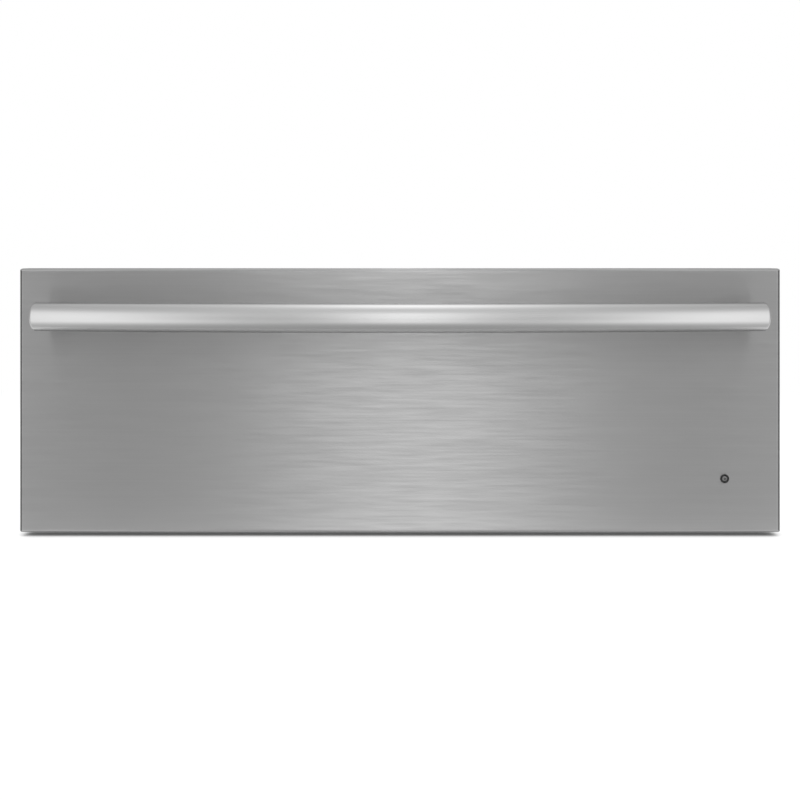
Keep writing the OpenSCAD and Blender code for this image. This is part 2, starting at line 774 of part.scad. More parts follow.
module wire_rack() {
    r = rim_wire_d / 2;
    c = rack_corner_r;
    wire_z = rack_z + r + wire_d / 2 - weld;
    pitch = 2 * rack_x / (wires + 1);
    color("lightgray") {
        for (s = [-1, 1]) rod_y(r, [rack_y0 + c, rack_y1 - c], [s * rack_x, rack_z]);
        for (y = [rack_y0, rack_y1]) rod_x(r, [c - rack_x, rack_x - c], [y, rack_z]);
        for (i = [0 : 3]) {
            x = (i == 0 || i == 3 ? 1 : -1) * (rack_x - c);
            y = i < 2 ? rack_y1 - c : rack_y0 + c;
            translate([x, y, rack_z]) rotate([0, 0, 90 * i])
                rotate_extrude(angle = 90) translate([c, 0]) circle(r);
        }
        for (i = [1 : wires]) rod_y(wire_d / 2, [rack_y0 - 1, rack_y1 + 1], [i * pitch - rack_x, wire_z]);
        for (s = [-1, 1], y = [rack_y0 + c + rack_foot_in, rack_y1 - c - rack_foot_in])
            rod_z(r - 0.5, [rack_z - r - rack_foot_h, rack_z], [s * rack_x, y]);
    }
}

// ---------------------------------------------------------------- slides

// A bar of a slide member, from offsets u inwards, above and below the slide's middle height
module race(u, z, y) {
    x = [slide_x - u[1], slide_x - u[0]];
    slab(x, y, [slide_z + z[0], slide_z + z[1]]);
    slab(x, y, [slide_z - z[1], slide_z - z[0]]);
}

// Draws its children at the screws that hold the right slide to its bracket, on the liner's outer face
module slide_screws() {
    for (y = slide_screw_ys) translate([liner_x, y, slide_z]) children();
}
module slide_screw_holes() {
    slide_screws() rod_x(tap_hole_r, [-tap_len, tap_len], [0, 0]);
}

// Draws its children at the rivets that hold the right slide to the drawer's rail
module slide_rivets() {
    for (y = slide_rivet_ys) translate([0, y, slide_z]) children();
}
module slide_rivet_holes() {
    slide_rivets() rod_x(rivet_r + fit, [rail_in_x - 1, rail_x + 4], [0, 0]);
}

module slide_outer(side) {
    y = [slide_y0, slide_y1];
    color("silver") on_side(side) difference() {
        union() {
            race(outer_u, [0, outer_half], y);
            race([0, outer_flange_u], [outer_half - race_t, outer_half], y);
            race([outer_flange_u - 1, outer_flange_u], [outer_half - race_t - ball_r * 1.3, outer_half], y);
        }
        slide_screw_holes();
    }
}

module slide_middle(side) {
    y = [slide_y0, slide_y1 - member_gap];
    color("silver") on_side(side) union() {
        race(middle_u, [0, middle_half], y);
        race([middle_u[0], middle_flange_u], [middle_half - race_t, middle_half], y);
        race([middle_flange_u - 1, middle_flange_u], [middle_half - race_t - ball_r * 1.2, middle_half], y);
    }
}

module slide_inner(side) {
    y = [slide_y0, slide_y1 - member_gap];
    color("silver") on_side(side) difference() {
        union() {
            race(inner_u, [0, inner_half], y);
            race([inner_flange_u, slide_w], [inner_half - race_t, inner_half], y);
        }
        slide_rivet_holes();
    }
}

// A cage: a folded strip whose arms hold a row of balls above and below
module ball_cage(side, web, ball_u, ball_z) {
    y = [cage_y0, cage_y0 + cage_len];
    arm = [web[0], ball_u + ball_r];
    pitch = cage_len / balls;
    color("goldenrod") on_side(side) {
        difference() {
            union() {
                race(web, [0, ball_z + cage_t / 2], y);
                race(arm, [ball_z - cage_t / 2, ball_z + cage_t / 2], y);
            }
            for (i = [0 : balls - 1], s = [-1, 1])
                rod_z(ball_r + running, [slide_z + s * ball_z - 1, slide_z + s * ball_z + 1],
                      [slide_x - ball_u, y[0] + (i + 0.5) * pitch]);
        }
        for (i = [0 : balls - 1], s = [-1, 1])
            translate([slide_x - ball_u, y[0] + (i + 0.5) * pitch, slide_z + s * ball_z]) sphere(ball_r);
    }
}

module ball_cage_outer(side) {
    ball_cage(side, outer_cage_u, outer_ball_u, middle_half + race_gap / 2);
}
module ball_cage_inner(side) {
    ball_cage(side, inner_cage_u, inner_ball_u, inner_half + race_gap / 2);
}

module slide_bracket(side) {
    y = [slide_y0, slide_y1];
    color("darkgray") on_side(side) difference() {
        slab([slide_x, cavity_x], y, [cavity_z0 + liner_r, slide_z + outer_half]);
        slide_screw_holes();
        for (i = [1 : windows])
            slab([slide_x - 1, cavity_x + 1], [y[0] + (i - 2 / 3) * window_pitch, y[0] + i * window_pitch],
                 [cavity_z0 + liner_r + window_edge, slide_z - outer_half - window_edge]);
    }
}

// ---------------------------------------------------------------- casing

// The holes for the screws along the casing's sides, on the right
module side_screws() {
    for (y = cover_screw_ys) translate([casing_w / 2, y, cover_screw_z]) children();
    for (z = frame_screw_zs) translate([wrap_x, frame_screw_y, z]) children();
    for (z = frame_screw_zs) translate([wrap_x, back_screw_y, z]) children();
}
module rear_screws() {
    for (x = rear_screw_xs) translate([x, back_y + sheet_t, cover_screw_z]) children();
}
module screw_holes() {
    both_sides() side_screws() rod_x(tap_hole_r, [-tap_len, tap_len], [0, 0]);
    rear_screws() rod_y(tap_hole_r, [-tap_len, tap_len], [0, 0]);
}

module front_frame() {
    z = [casing_z0 + frame_lap, casing_z1 - frame_lap];
    hole_z = (casing_z0 + casing_z1) / 2;
    color("silver") difference() {
        union() {
            slab([-frame_x, frame_x], [face_y, liner_y0], z);
            difference() {
                slab([-ring_x, ring_x], [face_y, liner_y0 + fold_d], [ring_z0, ring_z1]);
                slab([frame_t - ring_x, ring_x - frame_t], [face_y, liner_y0 + fold_d + 1],
                     [ring_z0 + frame_t, ring_z1 - frame_t]);
            }
        }
        plate_y([-cavity_x, cavity_x], [face_y - 1, liner_y0 + 1], [cavity_z0, cavity_z1], liner_r);
        for (s = [-1, 1], up = [-1, 1])
            rod_y(cabinet_hole_r, [face_y - 1, liner_y0 + 1],
                  [s * (casing_w / 2 + frame_lip / 2), hole_z + up * cabinet_hole_gap / 2]);
        rod_y(bushing_r + fit, [face_y - 1, liner_y0 + 1], [knob_x, knob_z]);
        rod_y(lamp_body_r + fit, [face_y - 1, liner_y0 + 1], [lamp_x, lamp_z]);
        screw_holes();
    }
}

// A rectangle open at the top, with round lower corners
module wrap_section(x, z, r) {
    translate([-x, z[0] + r]) square([2 * x, z[1] - z[0] - r]);
    translate([-x + r, z[0]]) square([2 * (x - r), r]);
    for (s = [-1, 1]) translate([s * (x - r), z[0] + r]) circle(r);
}

module casing_wrap() {
    y = [liner_y0, back_y];
    color("lightsteelblue") difference() {
        translate([0, y[1], 0]) rotate([90, 0, 0]) linear_extrude(y[1] - y[0]) difference() {
            wrap_section(wrap_x, [casing_z0, wrap_top], casing_r);
            wrap_section(wrap_in_x, [casing_z0 + sheet_t, wrap_top + 1], casing_r - sheet_t);
        }
        screw_holes();
        both_sides() for (i = [0 : 6]) translate([0, back_y - louvre_in + i * louvre_pitch, 0])
            slab([wrap_in_x - 1, wrap_x + 1], [0, louvre[0]], [louvre_z, louvre_z + louvre[1]]);
    }
}

module top_cover() {
    x = casing_w / 2;
    color("lightsteelblue") difference() {
        slab([-x, x], [liner_y0, back_y + sheet_t], [casing_z1 - fold_d, casing_z1]);
        slab([-wrap_x, wrap_x], [liner_y0 - 1, back_y], [casing_z1 - fold_d - 1, wrap_top]);
        screw_holes();
    }
}

module back_panel() {
    y = [back_y - fold_d, back_y];
    color("lightsteelblue") difference() {
        slab([-ring_x, ring_x], y, [ring_z0, ring_z1]);
        slab([sheet_t - ring_x, ring_x - sheet_t], [y[0] - 1, back_y - sheet_t],
             [ring_z0 + sheet_t, ring_z1 - sheet_t]);
        rod_y(gland_thread_r + fit, [y[0], back_y + 1], [gland_x, gland_z]);
        for (s = [-1, 1], i = [-4.5 : 4.5])
            slab(span(s * casing_w / 6 + i * louvre_pitch, louvre[0]), [y[0], back_y + 1],
                 [louvre_z, louvre_z + louvre[1]]);
        screw_holes();
    }
}

module tapping_screw(length) {
    rod_x(tap_head[0], [0, tap_head[1]], [0, 0]);
    rod_x(tap_r, [-length, 1], [0, 0]);
}

module tapping_screws() {
    color("dimgray") {
        both_sides() side_screws() tapping_screw(tap_len - 1);
        rear_screws() rotate([0, 0, 90]) tapping_screw(tap_len - 1);
        both_sides() slide_screws() tapping_screw(liner_t + bracket_t + race_t);
    }
}

module base_rails() {
    w = pad_r + 6;
    lip = fold_d;
    y = [liner_y0 + w, back_y - w];
    z0 = pad_h;
    t = rail_t;
    color("darkgray") both_sides() translate([base_rail_x, 0, 0]) {
        slab([-w, w], y, [z0, z0 + t]);
        for (s = [-1, 1]) {
            slab(s > 0 ? [w - t, w] : [-w, t - w], y, [z0, casing_z0]);
            slab(s > 0 ? [w - t, w + lip] : [-w - lip, t - w], y, [casing_z0 - t, casing_z0]);
        }
    }
}

module rubber_pads() {
    color([0.1, 0.1, 0.1]) both_sides() for (y = [liner_y0 + pad_in, back_y - pad_in])
        rod_z(pad_r, [0, pad_h], [base_rail_x, y]);
}

// ---------------------------------------------------------------- cavity and insulation

module cavity_liner() {
    r = liner_r + liner_t;
    z1 = cavity_z1 + liner_t;
    wall_y = [cavity_y1 - 1, liner_y1 + 1];
    color("gainsboro") difference() {
        union() {
            plate_y([-liner_x, liner_x], [liner_y0, liner_y1], [liner_z0, z1], r);
            plate_y([-liner_x - liner_lip, liner_x + liner_lip], [liner_y0, liner_y0 + liner_t],
                    [liner_z0 - liner_lip, z1 + liner_lip], r);
        }
        plate_y([-cavity_x, cavity_x], [liner_y0 - 1, cavity_y1], [cavity_z0, cavity_z1], liner_r);
        for (x = element_ends) rod_y(bushing_neck_r + fit, wall_y, [x, element_z]);
        rod_y(capillary_r + fit, wall_y, [capillary_x, bulb_z]);
        both_sides() slide_screw_holes();
    }
}

module insulation_top() {
    z = [cavity_z1 + liner_t + soft, wrap_top - soft];
    x = casing_w / 2 - tap_len - soft;      // clear of the cover's screws
    color("khaki") slab([-x, x], batt_y, z);
}

module insulation_bottom() {
    z = [casing_z0 + sheet_t + soft, liner_z0 - soft];
    color("khaki") slab([casing_r - wrap_in_x, wrap_in_x - casing_r], batt_y, z);
}

module insulation_side(side, y0) {
    color("khaki") on_side(side) difference() {
        slab([liner_x + soft, liner_x + soft + side_batt], [y0, batt_y[1]], batt_side_z);
        slide_screws() rod_x(tap_head[0] + soft, [0, tap_head[1] + soft], [0, 0]);
    }
}

module insulation_back() {
    color("khaki") difference() {
        slab([-liner_x, liner_x], [liner_y1 + soft, batt_y[1]], batt_side_z);
        for (x = element_ends) {
            rod_y(bushing_flange[0] + soft, [liner_y1, liner_y1 + bushing_flange[1] + soft], [x, element_z]);
            rod_y(element_r + soft, [liner_y1, batt_y[1] + 1], [x, element_z]);
        }
        rod_y(cutout_r + soft, [liner_y1, batt_y[1] + 1], cutout_at);
        rod_y(capillary_r + soft, [liner_y1, batt_y[1] + 1], [capillary_x, bulb_z]);
    }
}

// ---------------------------------------------------------------- heating

module element_bend(x, y, turn) {
    translate([x, y, element_z]) rotate([0, 0, turn]) rotate_extrude(angle = 180)
        translate([element_bend_r, 0]) circle(element_r);
}

module heating_element() {
    color("dimgray") {
        for (x = [element_xs[1], element_xs[2]]) rod_y(element_r, [element_y0, element_y1], [x, element_z]);
        for (x = element_ends) rod_y(element_r, [element_y0, element_end_y], [x, element_z]);
        element_bend(-element_pitch, element_y0, 180);
        element_bend(element_pitch, element_y0, 180);
        element_bend(0, element_y1, 0);
    }
}

module element_supports() {
    x = element_xs[3] + 4 * element_r;
    color("gray") for (y = support_ys) difference() {
        union() {
            slab([-x, x], span(y, support_t), [cavity_z0, element_z + element_r + 3]);
            slab([-x, x], [y - support_t / 2, y + fold_d], [cavity_z0, cavity_z0 + support_t]);
        }
        for (ex = element_xs) rod_y(element_r + fit, [y - support_t, y + support_t], [ex, element_z]);
    }
}

module element_bushings() {
    color("ivory") for (x = element_ends) difference() {
        union() {
            rod_y(bushing_neck_r, [cavity_y1 - 3, liner_y1 + 1], [x, element_z]);
            rod_y(bushing_flange[0], [liner_y1, liner_y1 + bushing_flange[1]], [x, element_z]);
        }
        rod_y(element_r + running, [cavity_y1 - 4, liner_y1 + bushing_flange[1] + 1], [x, element_z]);
    }
}

module thermal_cutout() {
    y = liner_y1;
    color([0.2, 0.2, 0.22]) {
        rod_y(cutout_r, [y, y + cutout_h], cutout_at);
        rod_y(cutout_r - 3, [y, y + cutout_h + 4], cutout_at);
        for (x = span(cutout_at[0], blade_gap))
            slab(span(x, blade[0]), [y + cutout_h + 3, bay_y - plug[1] / 2], span(cutout_at[1], blade[1]));
    }
}

module thermostat_bulb() {
    color("peru") rod_x(bulb_r, bulb_x, [bulb_y, bulb_z]);
}

module bulb_clips() {
    t = 1;
    color("silver") for (at = [bulb_x[0] + clip_in, bulb_x[1] - clip_in]) difference() {
        x = span(at, clip_w);
        union() {
            rod_x(bulb_r + fit + t, x, [bulb_y, bulb_z]);
            slab(x, [bulb_y, cavity_y1], [bulb_z - t, bulb_z + t]);
            slab(x, [cavity_y1 - t, cavity_y1], [bulb_z - clip_leg[0], bulb_z + clip_leg[1]]);
        }
        rod_x(bulb_r + running, [x[0] - 1, x[1] + 1], [bulb_y, bulb_z]);
    }
}

module capillary_tube() {
    x = capillary_x;
    y = stat_y1 + capillary_loop;
    z = bulb_z - capillary_drop;
    color("peru") bent_tube([
        [bulb_x[1], bulb_y, bulb_z], [x, bulb_y, bulb_z], [x, bay_y, bulb_z], [x, bay_y, z],
        [side_run_x, bay_y, z], [side_run_x, y, z], [knob_x, y, z], [knob_x, y, knob_z],
        [knob_x, stat_y1, knob_z]
    ], capillary_r);
}

// ---------------------------------------------------------------- controls

module thermostat_body() {
    color([0.85, 0.8, 0.7]) difference() {
        union() {
            slab(span(knob_x, stat_w), [liner_y0, stat_y1], span(knob_z, stat_h));
            rod_y(bushing_r, [face_y, liner_y0 + 1], [knob_x, knob_z]);
        }
        rod_y(shaft_r + running, [face_y - 1, stat_y1 - stat_wall], [knob_x, knob_z]);
    }
}

module thermostat_shaft() {
    color("silver") rod_y(shaft_r, [knob_y0 + knob_cap, stat_y1 - stat_wall - fit], [knob_x, knob_z]);
}

// The pointer stands where a twelfth flute would be
module control_knob() {
    color([0.1, 0.1, 0.1]) difference() {
        union() {
            rod_y(knob_r, [knob_y1 - knob_skirt, knob_y1], [knob_x, knob_z]);
            rod_y(grip_r, [knob_y0, knob_y1 - 1], [knob_x, knob_z]);
        }
        rod_y(shaft_r + running, [knob_y0 + knob_cap, knob_y1 + 1], [knob_x, knob_z]);
        for (i = [1 : flutes - 1]) translate([knob_x, 0, knob_z]) rotate([0, i * 360 / flutes, 0])
            rod_y(flute_r, [knob_y0 - 1, knob_y1 - knob_skirt - 1], [0, grip_r + 0.5]);
        slab(span(knob_x, pointer[0]), [knob_y0 - 1, knob_y0 + pointer[1]],
             [knob_z + 2, knob_z + grip_r + 1]);
    }
}

module dial_plate() {
    color([0.15, 0.15, 0.16]) difference() {
        rod_y(knob_r + 4, [face_y - dial_t, face_y], [knob_x, knob_z]);
        rod_y(shaft_r + fit, [face_y - dial_t - 1, face_y + 1], [knob_x, knob_z]);
    }
}

module pilot_lamp() {
    color("orange") {
        rod_y(lamp_body_r, [face_y - 1, liner_y0 + lamp_len], [lamp_x, lamp_z]);
        rod_y(lamp_body_r + 1, [face_y - 1, face_y], [lamp_x, lamp_z]);
        translate([lamp_x, face_y - 1, lamp_z]) intersection() {
            translate([0, 1, 0]) sphere(lamp_body_r - 1);
            rod_y(lamp_body_r, [-4, 0.5], [0, 0]);
        }
    }
}

// ---------------------------------------------------------------- wiring

// A lead that leaves the loom's trunk at height z and ends in a push-on connector
module lead(x, z, to) {
    rod_z(lead_r, z < to ? [z, to] : [to, z], [x, bay_y]);
    slab(span(x, plug[0]), span(bay_y, plug[1]), span(to, plug[2]));
}

module wiring_loom() {
    y = trunk_y;
    z = trunk_z;
    stat_z = knob_z - stat_h / 4;
    color([0.2, 0.2, 0.2]) {
        bent_tube([
            [element_xs[0], bay_y, z], [side_run_x, bay_y, z], [side_run_x, y, z], [lamp_x, y, z],
            [lamp_x, y, lamp_z], [lamp_x, liner_y0 + lamp_len, lamp_z]
        ], trunk_r);
        for (x = [gland_x - block_pitch, gland_x]) rod_z(lead_r, [block_z + block[2] / 2, z], [x, bay_y]);
        lead(element_xs[0], z, element_z);
        lead(element_xs[3], z, element_z);
        lead(cutout_at[0], z, cutout_at[1]);
        for (side = stat_leads) translate([knob_x + side, 0, 0])
            bent_tube([[0, y, z], [0, y, stat_z], [0, stat_y1, stat_z]], lead_r);
    }
}

module terminal_block() {
    y = [back_y - sheet_t - block[1], back_y - sheet_t];
    color("ivory") difference() {
        slab(span(gland_x, block[0]), y, span(block_z, block[2]));
        for (i = [-1 : 1])
            rod_y(block_hole[0], [y[0] - 1, y[0] + block_hole[1]], [gland_x + i * block_pitch, block_z]);
    }
}

module cord_gland() {
    color([0.1, 0.1, 0.1]) difference() {
        union() {
            rod_y(gland_thread_r, [back_y - sheet_t - gland_in, back_y + 1], [gland_x, gland_z]);
            rod_y(gland_body_r, [back_y, back_y + gland_out - gland_cap[1]], [gland_x, gland_z]);
            rod_y(gland_body_r - gland_cap[0], [back_y, back_y + gland_out], [gland_x, gland_z]);
        }
        rod_y(gland_bore_r, [back_y - sheet_t - gland_in - 1, back_y + gland_out + 1], [gland_x, gland_z]);
    }
}

module gland_nut() {
    y = back_y - sheet_t;
    color([0.1, 0.1, 0.1]) difference() {
        translate([gland_x, y, gland_z]) rotate([90, 0, 0]) cylinder(r = nut[0], h = nut[1], $fn = 6);
        rod_y(gland_thread_r + running, [y - nut[1] - 1, y + 1], [gland_x, gland_z]);
    }
}

// ---------------------------------------------------------------- assembly

front_skin();
front_inner_panel();
front_insulation();
front_seal();
handle_bar();
handle_end_caps();
handle_post(-1);  // handle_post_left
handle_post(1);  // handle_post_right
handle_screws();
indicator_bezel();
indicator_light_pipe();
vent_slider();
drawer_rail(-1);  // drawer_rail_left
drawer_rail(1);  // drawer_rail_right
drawer_front_rail();
drawer_rear_rail();
warming_pan();
wire_rack();
drawer_rivets();
slide_inner(-1);  // slide_inner_left
slide_inner(1);  // slide_inner_right
slide_middle(-1);  // slide_middle_left
slide_middle(1);  // slide_middle_right
slide_outer(-1);  // slide_outer_left
slide_outer(1);  // slide_outer_right
ball_cage_inner(-1);  // ball_cage_inner_left
ball_cage_inner(1);  // ball_cage_inner_right
ball_cage_outer(-1);  // ball_cage_outer_left
ball_cage_outer(1);  // ball_cage_outer_right
slide_bracket(-1);  // slide_bracket_left
slide_bracket(1);  // slide_bracket_right
front_frame();
casing_wrap();
top_cover();
back_panel();
tapping_screws();
base_rails();
rubber_pads();
cavity_liner();
insulation_top();
insulation_bottom();
insulation_side(-1, batt_y[0]);  // insulation_left
insulation_side(1, liner_y0 + bay_d);  // insulation_right
insulation_back();
heating_element();
element_supports();
element_bushings();
thermal_cutout();
thermostat_bulb();
bulb_clips();
capillary_tube();
thermostat_body();
thermostat_shaft();
control_knob();
dial_plate();
pilot_lamp();
wiring_loom();
terminal_block();
cord_gland();
gland_nut();
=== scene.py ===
"""Looks of the warming drawer: materials for every piece, the smooth handle, the marks of the dial,
and the studio with its camera, room and floor."""

import math

import bmesh
import bpy
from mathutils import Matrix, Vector


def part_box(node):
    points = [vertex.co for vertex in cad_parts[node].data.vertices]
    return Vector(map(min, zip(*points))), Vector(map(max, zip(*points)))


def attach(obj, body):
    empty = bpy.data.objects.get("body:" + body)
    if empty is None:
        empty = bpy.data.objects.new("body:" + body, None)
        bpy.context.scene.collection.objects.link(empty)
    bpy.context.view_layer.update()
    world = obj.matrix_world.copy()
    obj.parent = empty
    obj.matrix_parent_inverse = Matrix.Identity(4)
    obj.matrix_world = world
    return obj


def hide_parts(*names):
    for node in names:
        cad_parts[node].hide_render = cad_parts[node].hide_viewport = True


bl_info = {
    "name": "Warming Drawer",
    "version": (1, 0, 0),
    "blender": (4, 5, 0),
    "location": "View3D > Sidebar > Warming Drawer",
    "description": "Dresses the warming drawer and sets up its photo studio",
    "category": "Object",
}


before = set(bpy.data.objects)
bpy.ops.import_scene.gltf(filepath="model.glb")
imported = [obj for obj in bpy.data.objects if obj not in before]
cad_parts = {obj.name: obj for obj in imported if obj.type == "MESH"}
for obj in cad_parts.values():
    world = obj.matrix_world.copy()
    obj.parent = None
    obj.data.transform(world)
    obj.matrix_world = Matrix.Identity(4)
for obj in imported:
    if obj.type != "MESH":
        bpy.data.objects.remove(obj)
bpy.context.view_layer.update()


# ---------------------------------------------------------------- settings


class WarmingDrawerLooks(bpy.types.PropertyGroup):
    """Colours and finishes of the drawer"""

    steel: bpy.props.FloatVectorProperty(
        name="Front steel",
        description="Colour of the front's brushed stainless steel",
        subtype="COLOR",
        default=(0.52, 0.52, 0.52),
        min=0.0,
        max=1.0,
    )
    brush: bpy.props.FloatProperty(
        name="Brush marks",
        description="Strength of the brush marks on every brushed piece",
        subtype="FACTOR",
        default=0.5,
        min=0.0,
        max=1.0,
    )
    galvanised: bpy.props.FloatVectorProperty(
        name="Casing",
        description="Colour of the casing's galvanised sheet",
        subtype="COLOR",
        default=(0.58, 0.59, 0.60),
        min=0.0,
        max=1.0,
    )
    wool: bpy.props.FloatVectorProperty(
        name="Insulation",
        description="Colour of the mineral wool",
        subtype="COLOR",
        default=(0.50, 0.43, 0.22),
        min=0.0,
        max=1.0,
    )
    wear: bpy.props.FloatProperty(
        name="Wear",
        description="Strength of smudges and scuffs on the metal",
        subtype="FACTOR",
        default=0.35,
        min=0.0,
        max=1.0,
    )


class WarmingDrawerStage(bpy.types.PropertyGroup):
    """Camera and light of the drawer's studio"""

    camera_distance: bpy.props.FloatProperty(
        name="Camera distance",
        description="Distance from the camera to the front's face",
        unit="LENGTH",
        default=1.3,
        min=0.6,
        max=6.0,
    )
    camera_height: bpy.props.FloatProperty(
        name="Camera height",
        description="Height of the camera above the floor",
        unit="LENGTH",
        default=0.285,
        min=0.0,
        max=3.0,
    )
    light: bpy.props.FloatProperty(
        name="Light",
        description="Strength of the studio's light, as a share of the usual",
        subtype="FACTOR",
        default=1.0,
        min=0.0,
        max=4.0,
    )


# ---------------------------------------------------------------- nodes


class Nodes:
    """Builds the nodes of a material or a world"""

    def __init__(self, tree):
        self.tree = tree
        tree.nodes.clear()

    def node(self, kind, inputs=None, **values):
        """A new node with these properties, and these constants on its inputs"""
        made = self.tree.nodes.new(kind)
        for name, value in values.items():
            setattr(made, name, value)
        for key, value in (inputs or {}).items():
            made.inputs[key].default_value = value
        return made

    def link(self, source, target):
        self.tree.links.new(source, target)

    def math(self, operation, *values):
        """Works out a value from numbers and sockets"""
        made = self.node("ShaderNodeMath", operation=operation)
        for socket, value in zip(made.inputs, values):
            if isinstance(value, (int, float)):
                socket.default_value = value
            else:
                self.link(value, socket)
        return made.outputs[0]

    def spread(self, value, low, high, start=0.3, end=0.7, **values):
        """Maps a value from start..end to low..high"""
        span = {"From Min": start, "From Max": end, "To Min": low, "To Max": high}
        made = self.node("ShaderNodeMapRange", span, **values)
        self.link(value, made.inputs["Value"])
        return made.outputs["Result"]

    def split(self, vector):
        """The three parts of a vector"""
        made = self.node("ShaderNodeSeparateXYZ")
        self.link(vector, made.inputs[0])
        return made.outputs

    def mixed(self, factor, first, second):
        """One shader where the factor is 0, another where it is 1"""
        made = self.node("ShaderNodeMixShader")
        for socket, source in zip(made.inputs, (factor, first, second)):
            self.link(source, socket)
        return made.outputs[0]

    def added(self, first, second):
        """Two shaders on top of each other"""
        made = self.node("ShaderNodeAddShader")
        for socket, source in zip(made.inputs, (first, second)):
            self.link(source, socket)
        return made.outputs[0]


class Shader(Nodes):
    """Builds the nodes of one of the drawer's finishes"""

    QUARTER = 0.25  # of a turn

    def __init__(self, name):
        self.material = bpy.data.materials.new(name)
        self.material.use_nodes = True
        super().__init__(self.material.node_tree)
        self.surface = self.node("ShaderNodeBsdfPrincipled")
        output = self.node("ShaderNodeOutputMaterial")
        self.link(self.surface.outputs[0], output.inputs["Surface"])
        places = self.node("ShaderNodeTexCoord")
        self.coords = places.outputs["Object"]
        self.normal = places.outputs["Normal"]

    def set(self, **values):
        """Sets the surface's constants, named as its sockets with underscores for spaces"""
        for name, value in values.items():
            self.surface.inputs[name.replace("_", " ")].default_value = value

    def stretched(self, scale):
        """The object's coordinates, stretched along each axis"""
        mapping = self.node("ShaderNodeMapping", {"Scale": scale})
        self.link(self.coords, mapping.inputs["Vector"])
        return mapping.outputs["Vector"]

    def noise(self, scale, detail, stretch=None, roughness=0.5):
        made = self.node("ShaderNodeTexNoise", {"Scale": scale, "Detail": detail, "Roughness": roughness})
        self.link(self.stretched(stretch) if stretch else self.coords, made.inputs["Vector"])
        return made.outputs[0]

    def cells(self, scale):
        """Cells that each have a colour of their own"""
        made = self.node("ShaderNodeTexVoronoi", {"Scale": scale})
        self.link(self.coords, made.inputs["Vector"])
        return made.outputs["Color"]

    def tint(self, colour, light):
        """Gives the surface its colour, made lighter or darker by a value round 1"""
        made = self.node("ShaderNodeVectorMath", {0: tuple(colour)[:3]}, operation="SCALE")
        self.link(light, made.inputs["Scale"])
        self.link(made.outputs["Vector"], self.surface.inputs["Base Color"])

    def rough(self, value):
        """Gives the surface its roughness"""
        self.link(value, self.surface.inputs["Roughness"])

    def bump(self, height, strength, distance):
        made = self.node("ShaderNodeBump", {"Strength": strength, "Distance": distance})
        self.link(height, made.inputs["Height"])
        self.link(made.outputs[0], self.surface.inputs["Normal"])

    def grain(self, axis, amount):
        """Stretches highlights across the direction round an axis"""
        tangent = self.node("ShaderNodeTangent", direction_type="RADIAL", axis=axis)
        self.link(tangent.outputs[0], self.surface.inputs["Tangent"])
        self.set(Anisotropic=amount, Anisotropic_Rotation=self.QUARTER)

    def grain_round(self, axis, amount):
        """Stretches highlights round a bar that lies along the axis"""
        tangent = self.node("ShaderNodeVectorMath", {1: axis}, operation="CROSS_PRODUCT")
        self.link(self.normal, tangent.inputs[0])
        self.link(tangent.outputs["Vector"], self.surface.inputs["Tangent"])
        self.set(Anisotropic=amount)


# ---------------------------------------------------------------- finishes


MARK_SCALE = (1.5, 900.0)  # of the fine brush marks, along the brushing and across it
STREAK_SCALE = (20.0, 380.0)  # of the streaks, along and across
MARK_DEPTH = 0.04  # how much a fine mark changes colour and roughness
STREAK_DEPTH = 0.065  # how much a streak changes roughness
SMUDGE_DEPTH = 0.06  # how much a smudge does
RIM_SHADE = (0.55, 0.9)  # painted rim shade: how far a round piece has turned away from the camera where it begins, and where it is darkest
BEND_SHADE = 0.5  # painted bend shade: the normal's two level parts multiplied, halfway round an upright bend, where it is darkest
CLOUD_DEPTH = 0.12  # how much the roughness of a plain finish varies


def grey(level):
    """A colour with no hue"""
    return (level, level, level)


def along_axis(axis, along, across):
    """A pattern's scale, with one value along an axis and another across it"""
    return tuple(along if name == axis else across for name in "XYZ")


def brushed_steel(name, colour, along, marks, wear=0.0, *, roughness, rim_shade=1.0, bend_shade=0.0):
    """Steel with marks and streaks brushed along one axis and faint smudges, and painted shade on round
    pieces'
    rims and on upright bends: the rim value is the brightness that painted shade leaves where a round piece
    turns away from the camera, and the bends value what painted shade takes away on upright bends"""
    shader = Shader(name)
    brushing = shader.noise(1.0, detail=2.0, stretch=along_axis(along, *MARK_SCALE))
    streaks = shader.noise(1.0, detail=3.0, stretch=along_axis(along, *STREAK_SCALE))
    smudge = shader.noise(7.0, detail=4.0)
    mark = MARK_DEPTH * marks
    streak = STREAK_DEPTH * marks
    light = shader.spread(brushing, 1 - mark, 1 + mark)
    # painted rim shade: the colour darkens where a round piece turns away from the camera
    if rim_shade < 1.0:
        facing = shader.node("ShaderNodeLayerWeight").outputs["Facing"]
        light = shader.math("MULTIPLY", light, shader.spread(facing, 1.0, rim_shade, *RIM_SHADE))
    # painted shade on upright bends: the colour darkens where the normal turns between the front and the
    # sides
    if bend_shade:
        x, y, _ = shader.split(shader.normal)
        turned = shader.math("ABSOLUTE", shader.math("MULTIPLY", x, y))
        light = shader.math("MULTIPLY", light, shader.spread(turned, 1.0, 1 - bend_shade, 0.0, BEND_SHADE))
    smudged = shader.spread(smudge, 0.0, SMUDGE_DEPTH * wear, start=0.5, end=0.75)
    rough = shader.math("ADD", shader.spread(brushing, roughness - mark, roughness + mark), smudged)
    shader.set(Metallic=1.0)
    shader.tint(colour, light)
    shader.rough(shader.math("ADD", rough, shader.spread(streaks, -streak, streak)))
    shader.bump(brushing, strength=0.03 * marks, distance=0.0004)
    return shader


